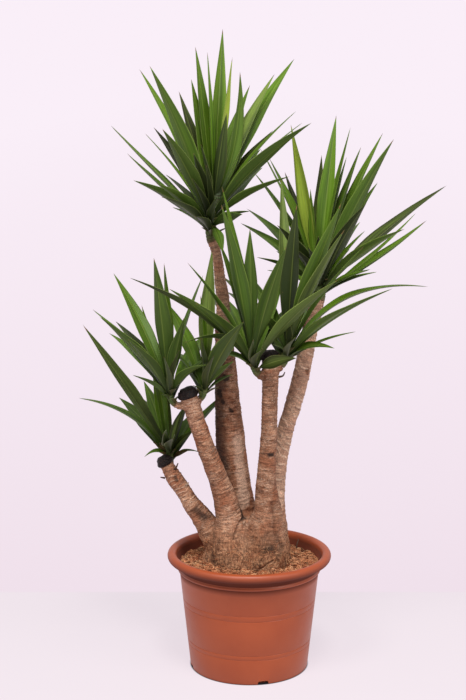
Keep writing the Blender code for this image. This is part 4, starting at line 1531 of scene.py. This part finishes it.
def grow_blade(heap, shoot, spec, draw):
    """Adds one fine blade: a channelled, pointed leaf with a faint wave."""
    root, elbow, tip = blade_curve(shoot, spec)
    across_root, across_face = blade_across(shoot, spec)
    phase, beat = draw.uniform(0, WAVE_TURN), draw.uniform(*WAVE_BEATS)
    wave = WAVE * draw.uniform(0.3, 1.0) * min(spec.length / 300, 1)
    light = draw.uniform(*BLADE_LIGHT)
    seed = draw.uniform(0, 40)
    points, along_values, across_values, under = [], [], [], []
    for step in range(BLADE_STEPS):
        share = step / BLADE_STEPS
        low, high = root.lerp(elbow, share), elbow.lerp(tip, share)
        middle, along = low.lerp(high, share), (high - low).normalized()
        across = across_root.slerp(across_face, min(share / TWIST_END, 1))
        across = (across - along * along.dot(across)).normalized()
        up = along.cross(across)
        half = half_width(share, spec.width / 1000)
        channel = half * (CHANNEL[0] + (CHANNEL[1] - CHANNEL[0]) * share)
        thick = THICKNESS[0] + (THICKNESS[1] - THICKNESS[0]) * share
        swing = wave * math.sin(math.pi * share)
        for side, row in ((1, UPPER_POINTS), (-1, LOWER_POINTS)):
            for t in row:
                body = max(thick * (1 - t * t), MARGIN_THICKNESS) / 2
                edge_wave = swing * t * abs(t) * math.sin(phase + WAVE_TURN * beat * share + WAVE_SKEW * t)
                rise = channel * abs(t) ** FOLD_POWER + side * body + edge_wave
                points.append(middle + across * (half * t) + up * rise)
                across_values.append(t)
                along_values.append(share)
                under.append(float(side < 0))
    points.append(tip)
    along_values.append(1.0)
    across_values.append(0.0)
    under.append(0.5)
    count = len(UPPER_POINTS) + len(LOWER_POINTS)
    last = (BLADE_STEPS - 1) * count
    faces = [face for face in ring_faces(BLADE_STEPS, count)[::-1] if len(face) == 4]
    faces += [(last + i, last + (i + 1) % count, last + count) for i in range(count)]
    faces.append(tuple(range(count))[::-1])
    tone = tuple(part * light for part in TONES[spec.tone])
    total = len(points)
    heap.add(points, faces, [tone] * total, along=along_values, across=across_values, under=under,
             seed=[seed] * total, reach=[spec.length / 1000] * total)


def leaf_material():
    """Satin green leaf: veins, painted bands of light and shade, a pale margin, a painted highlight along
    the fold, painted shade at the base, a dry tip and a greyer underside.
    """
    make = Surface("leaf_blade", 0.38, specular=0.18)
    along, across, seed, under = [make.attribute(name) for name in ("along", "across", "seed", "under")]
    run = make.times(along, make.attribute("reach"))

    def streaks(across_scale, run_scale, scale, detail):
        place = make.vector(make.times(across, across_scale), make.times(run, run_scale), seed)
        return make.noise(place, scale, detail)

    veins, bands, spots = streaks(7.5, 4, 1.6, 3), streaks(1.6, 3, 1.0, 3), streaks(2.0, 45, 2.2, 4)
    side = make.maths("ABSOLUTE", across)
    colour = make.scaled(make.attribute("tint", "Color"), make.between(veins, 0.3, 0.7, 0.70, 1.30))
    # Painted light and painted shade in broad bands along the blade.
    colour = make.over(colour, LEAF["band"], bands, 0.50, 0.72, 0.30)
    colour = make.over(colour, LEAF["shade"], bands, 0.5, 0.28, 0.55)
    colour = make.over(colour, LEAF["under"], under, 0.4, 0.9, 0.45)
    colour = make.over(colour, LEAF["margin"], side, 0.90, 0.985, 0.40)
    # A pale line along the fold: painted highlight.
    colour = make.over(colour, LEAF["midrib"], side, 0.09, 0.02, 0.30)
    # Painted shade towards the base, deep in the heart of the head.
    colour = make.over(colour, LEAF["base"], along, 0.36, 0.03, 0.82)
    colour = make.over(colour, LEAF["root"], along, 0.045, 0.0, 0.7)
    colour = make.over(colour, LEAF["spot"], spots, 0.66, 0.75, 0.55)
    dry_from = make.between(make.noise(make.vector(seed, 0.5, 0.5), 1.0, 2), 0.3, 0.7, 0.955, 0.992)
    dry = make.maths("GREATER_THAN", along, dry_from)
    colour = make.mix(make.times(dry, 0.85), colour, LEAF["dry"])
    return make.finish(colour, make.between(make.plus(make.times(under, 0.25), bands), 0.2, 1.0, 0.34, 0.58))


def stem_material():
    """The shoot's skin: dull green above, brown and ringed with old leaf bases below."""
    make = Surface("shoot_skin", 0.7)
    rise, ring = make.attribute("rise"), make.attribute("ring")
    patch = make.noise(make.place(), 90, 4)
    colour = make.over(STEM["brown"], STEM["green"], rise, 0.02, 0.35)
    colour = make.over(colour, STEM["patch"], patch, 0.46, 0.66, 0.4)
    colour = make.over(colour, STEM["crown"], rise, 0.6, 0.85)
    colour = make.over(colour, STEM["ring"], ring, 0.3, 0.9, 0.8)
    make.bump(make.noise(make.stretched(1, 1, 0.2), 500, 4), 0.0008)
    return make.finish(colour)


def stem_route(shoot):
    """The stem's middle line, with its girth, from its seat to just over its crown."""
    seat, aim = seat_of(shoot)
    route = [Vector((*(seat + aim * rise), shoot.radius)) for rise in (0, CORE_START)]
    for share, girth in STEM_GIRTHS:
        route.append(Vector((*shoot_point(shoot, share), shoot.radius * girth)))
    end = shoot_point(shoot, 1) + shoot_axis(shoot) * CORE_RISE
    return [*route, Vector((*end, shoot.radius * STEM_TIP))]


def make_stem(name, shoot, mat):
    """The shoot itself, with a ring where each old leaf was."""
    route = smooth_route(stem_route(shoot), STEM_STEPS)
    rings, rise, lines = [], [], []
    for index, ring in enumerate(tube_rings(route, STEM_SIDES)):
        skin = []
        for point in ring:
            height = index / STEM_RING_STEPS + 1.5 * noise.noise(point * 35)
            part = height - math.floor(height)
            line = math.exp(-((part - 0.5) / STEM_RING_WIDTH) ** 2)
            way = (point - route[index].xyz).normalized()
            skin.append(point + way * (0.0005 - 0.0011 * line + 0.0005 * noise.noise(point * 240)))
            rise.append(index / len(route))
            lines.append(line)
        rings.append(skin)
    heap = Heap()
    heap.shell(rings, rise=rise, ring=lines)
    belongs(heap.piece("stem_" + name, mat))


def sheath(draw, index, count):
    """A short dry leaf base low on the shoot."""
    around = math.radians(360 * ((index * GOLDEN) % 1))
    at = SHEATH_FROM + SHEATH_SPAN * index / count
    tone = draw.choice(SHEATH_TONES)
    length, width = draw.uniform(*SHEATH_LENGTH), draw.uniform(*SHEATH_WIDTH)
    lean, turn = SHEATH_LEAN * math.sin(around), -SHEATH_TURN * math.cos(around)
    return blade(lean, turn, length, width=width, at=at, tone=tone)


def make_heads():
    """Every head: its leaves with their old leaf bases, and its stem."""
    leaf, skin = leaf_material(), stem_material()
    draw = random.Random(LEAF_SEED)
    for name, specs in packed_blades().items():
        shoot = SHOOTS[name]
        heap = Heap()
        for spec in specs:
            grow_blade(heap, shoot, spec, draw)
        for index in range(shoot.sheaths):
            grow_blade(heap, shoot, sheath(draw, index, shoot.sheaths), draw)
        belongs(heap.piece("leaves_" + name, leaf), name)
        make_stem(name, shoot, skin)


def floor_material():
    """A plain pale floor with a painted shadow under the pot, which meets the foot of a glowing backdrop and
    fades into it further out.
    """
    make = Surface("studio_floor", 0.6, specular=0)
    x, y, _ = make.axes()
    behind = make.between(y, SEAM - SEAM_HALF, SEAM + SEAM_HALF)
    near = make.maths("DIVIDE", SEAM - CAMERA_PLACE[1], make.maths("SUBTRACT", y, CAMERA_PLACE[1]))
    aside = make.between(make.maths("ABSOLUTE", x), *FADE)
    ahead = make.between(y, *[-reach for reach in FADE])
    far = make.maths("MAXIMUM", aside, ahead)
    # Painted shadow on the floor under the pot and in a thin ring round its foot.
    foot = (BASE_RADIUS - 0.001, BASE_RADIUS + 0.003)
    open_floor = make.between(make.reach(x, y), *foot, FLOOR_UNDER_POT, 1.0)
    grain = make.between(make.noise(make.place(), 6, 3), 0.3, 0.7, 0.995, 1.005)
    colour = make.scaled(make.scaled(FLOOR_COLOUR, grain), open_floor)
    glow = make.mix(behind, make.scaled(FLOOR_GLOW, open_floor), make.mix(near, BACKDROP, BACKDROP_FOOT))
    make.put(make.shader.inputs["Emission Color"], make.mix(far, glow, BACKDROP))
    make.shader.inputs["Emission Strength"].default_value = 1
    return make.finish(make.mix(make.maths("MAXIMUM", behind, far), colour, BLACK))


def make_world():
    """A backdrop that is bright where it is seen, and softer where it lights the plant."""
    world = bpy.data.worlds.new("studio")
    world.use_nodes = True
    make = Nodes(world.node_tree)
    path = make.add("LightPath", {}).outputs
    lit = make.between(path["Is Glossy Ray"], 0, 1, WORLD_LIGHT, WORLD_SHEEN)
    background = make.tree.nodes["Background"].inputs
    make.put(background["Strength"], make.between(path["Is Camera Ray"], 0, 1, lit, 1))
    make.put(background["Color"], make.mix(path["Is Camera Ray"], BACKDROP_LIGHT, BACKDROP))
    bpy.context.scene.world = world


def make_stage():
    """The floor and the backdrop behind it."""
    corners = [(-1, -1), (1, -1), (1, 1), (-1, 1)]
    heap = Heap()
    heap.add([Vector((x * FLOOR_SIZE, y * FLOOR_SIZE, 0)) for x, y in corners], [(0, 1, 2, 3)])
    heap.piece("studio_floor", floor_material())
    make_world()


def add_light(name, place, target, size, power):
    """A round soft light that points at its target."""
    light = bpy.data.lights.new(name, "AREA")
    light.shape = "DISK"
    light.size = size
    light.energy = power
    obj = linked(name, light)
    obj.location = place
    obj.rotation_euler = (Vector(target) - Vector(place)).to_track_quat("-Z", "Y").to_euler()


def add_camera():
    """The camera, level with the photograph's horizon and tilted down."""
    data = bpy.data.cameras.new("camera")
    data.lens = CAMERA_LENS
    data.sensor_width = SENSOR_WIDTH
    camera = linked("camera", data)
    camera.location = CAMERA_PLACE
    camera.rotation_euler = (math.pi / 2 - CAMERA_DOWN, 0, 0)
    bpy.context.scene.camera = camera


bpy.context.scene.view_settings.view_transform = "Standard"
add_camera()
make_stage()
for light in LIGHTS:
    add_light(*light)
make_pot()
make_coir()
scatter_fibres()
make_trunk()
wax = wax_material()
for sealed in SEALED:
    make_seal(sealed, wax)
make_heads()
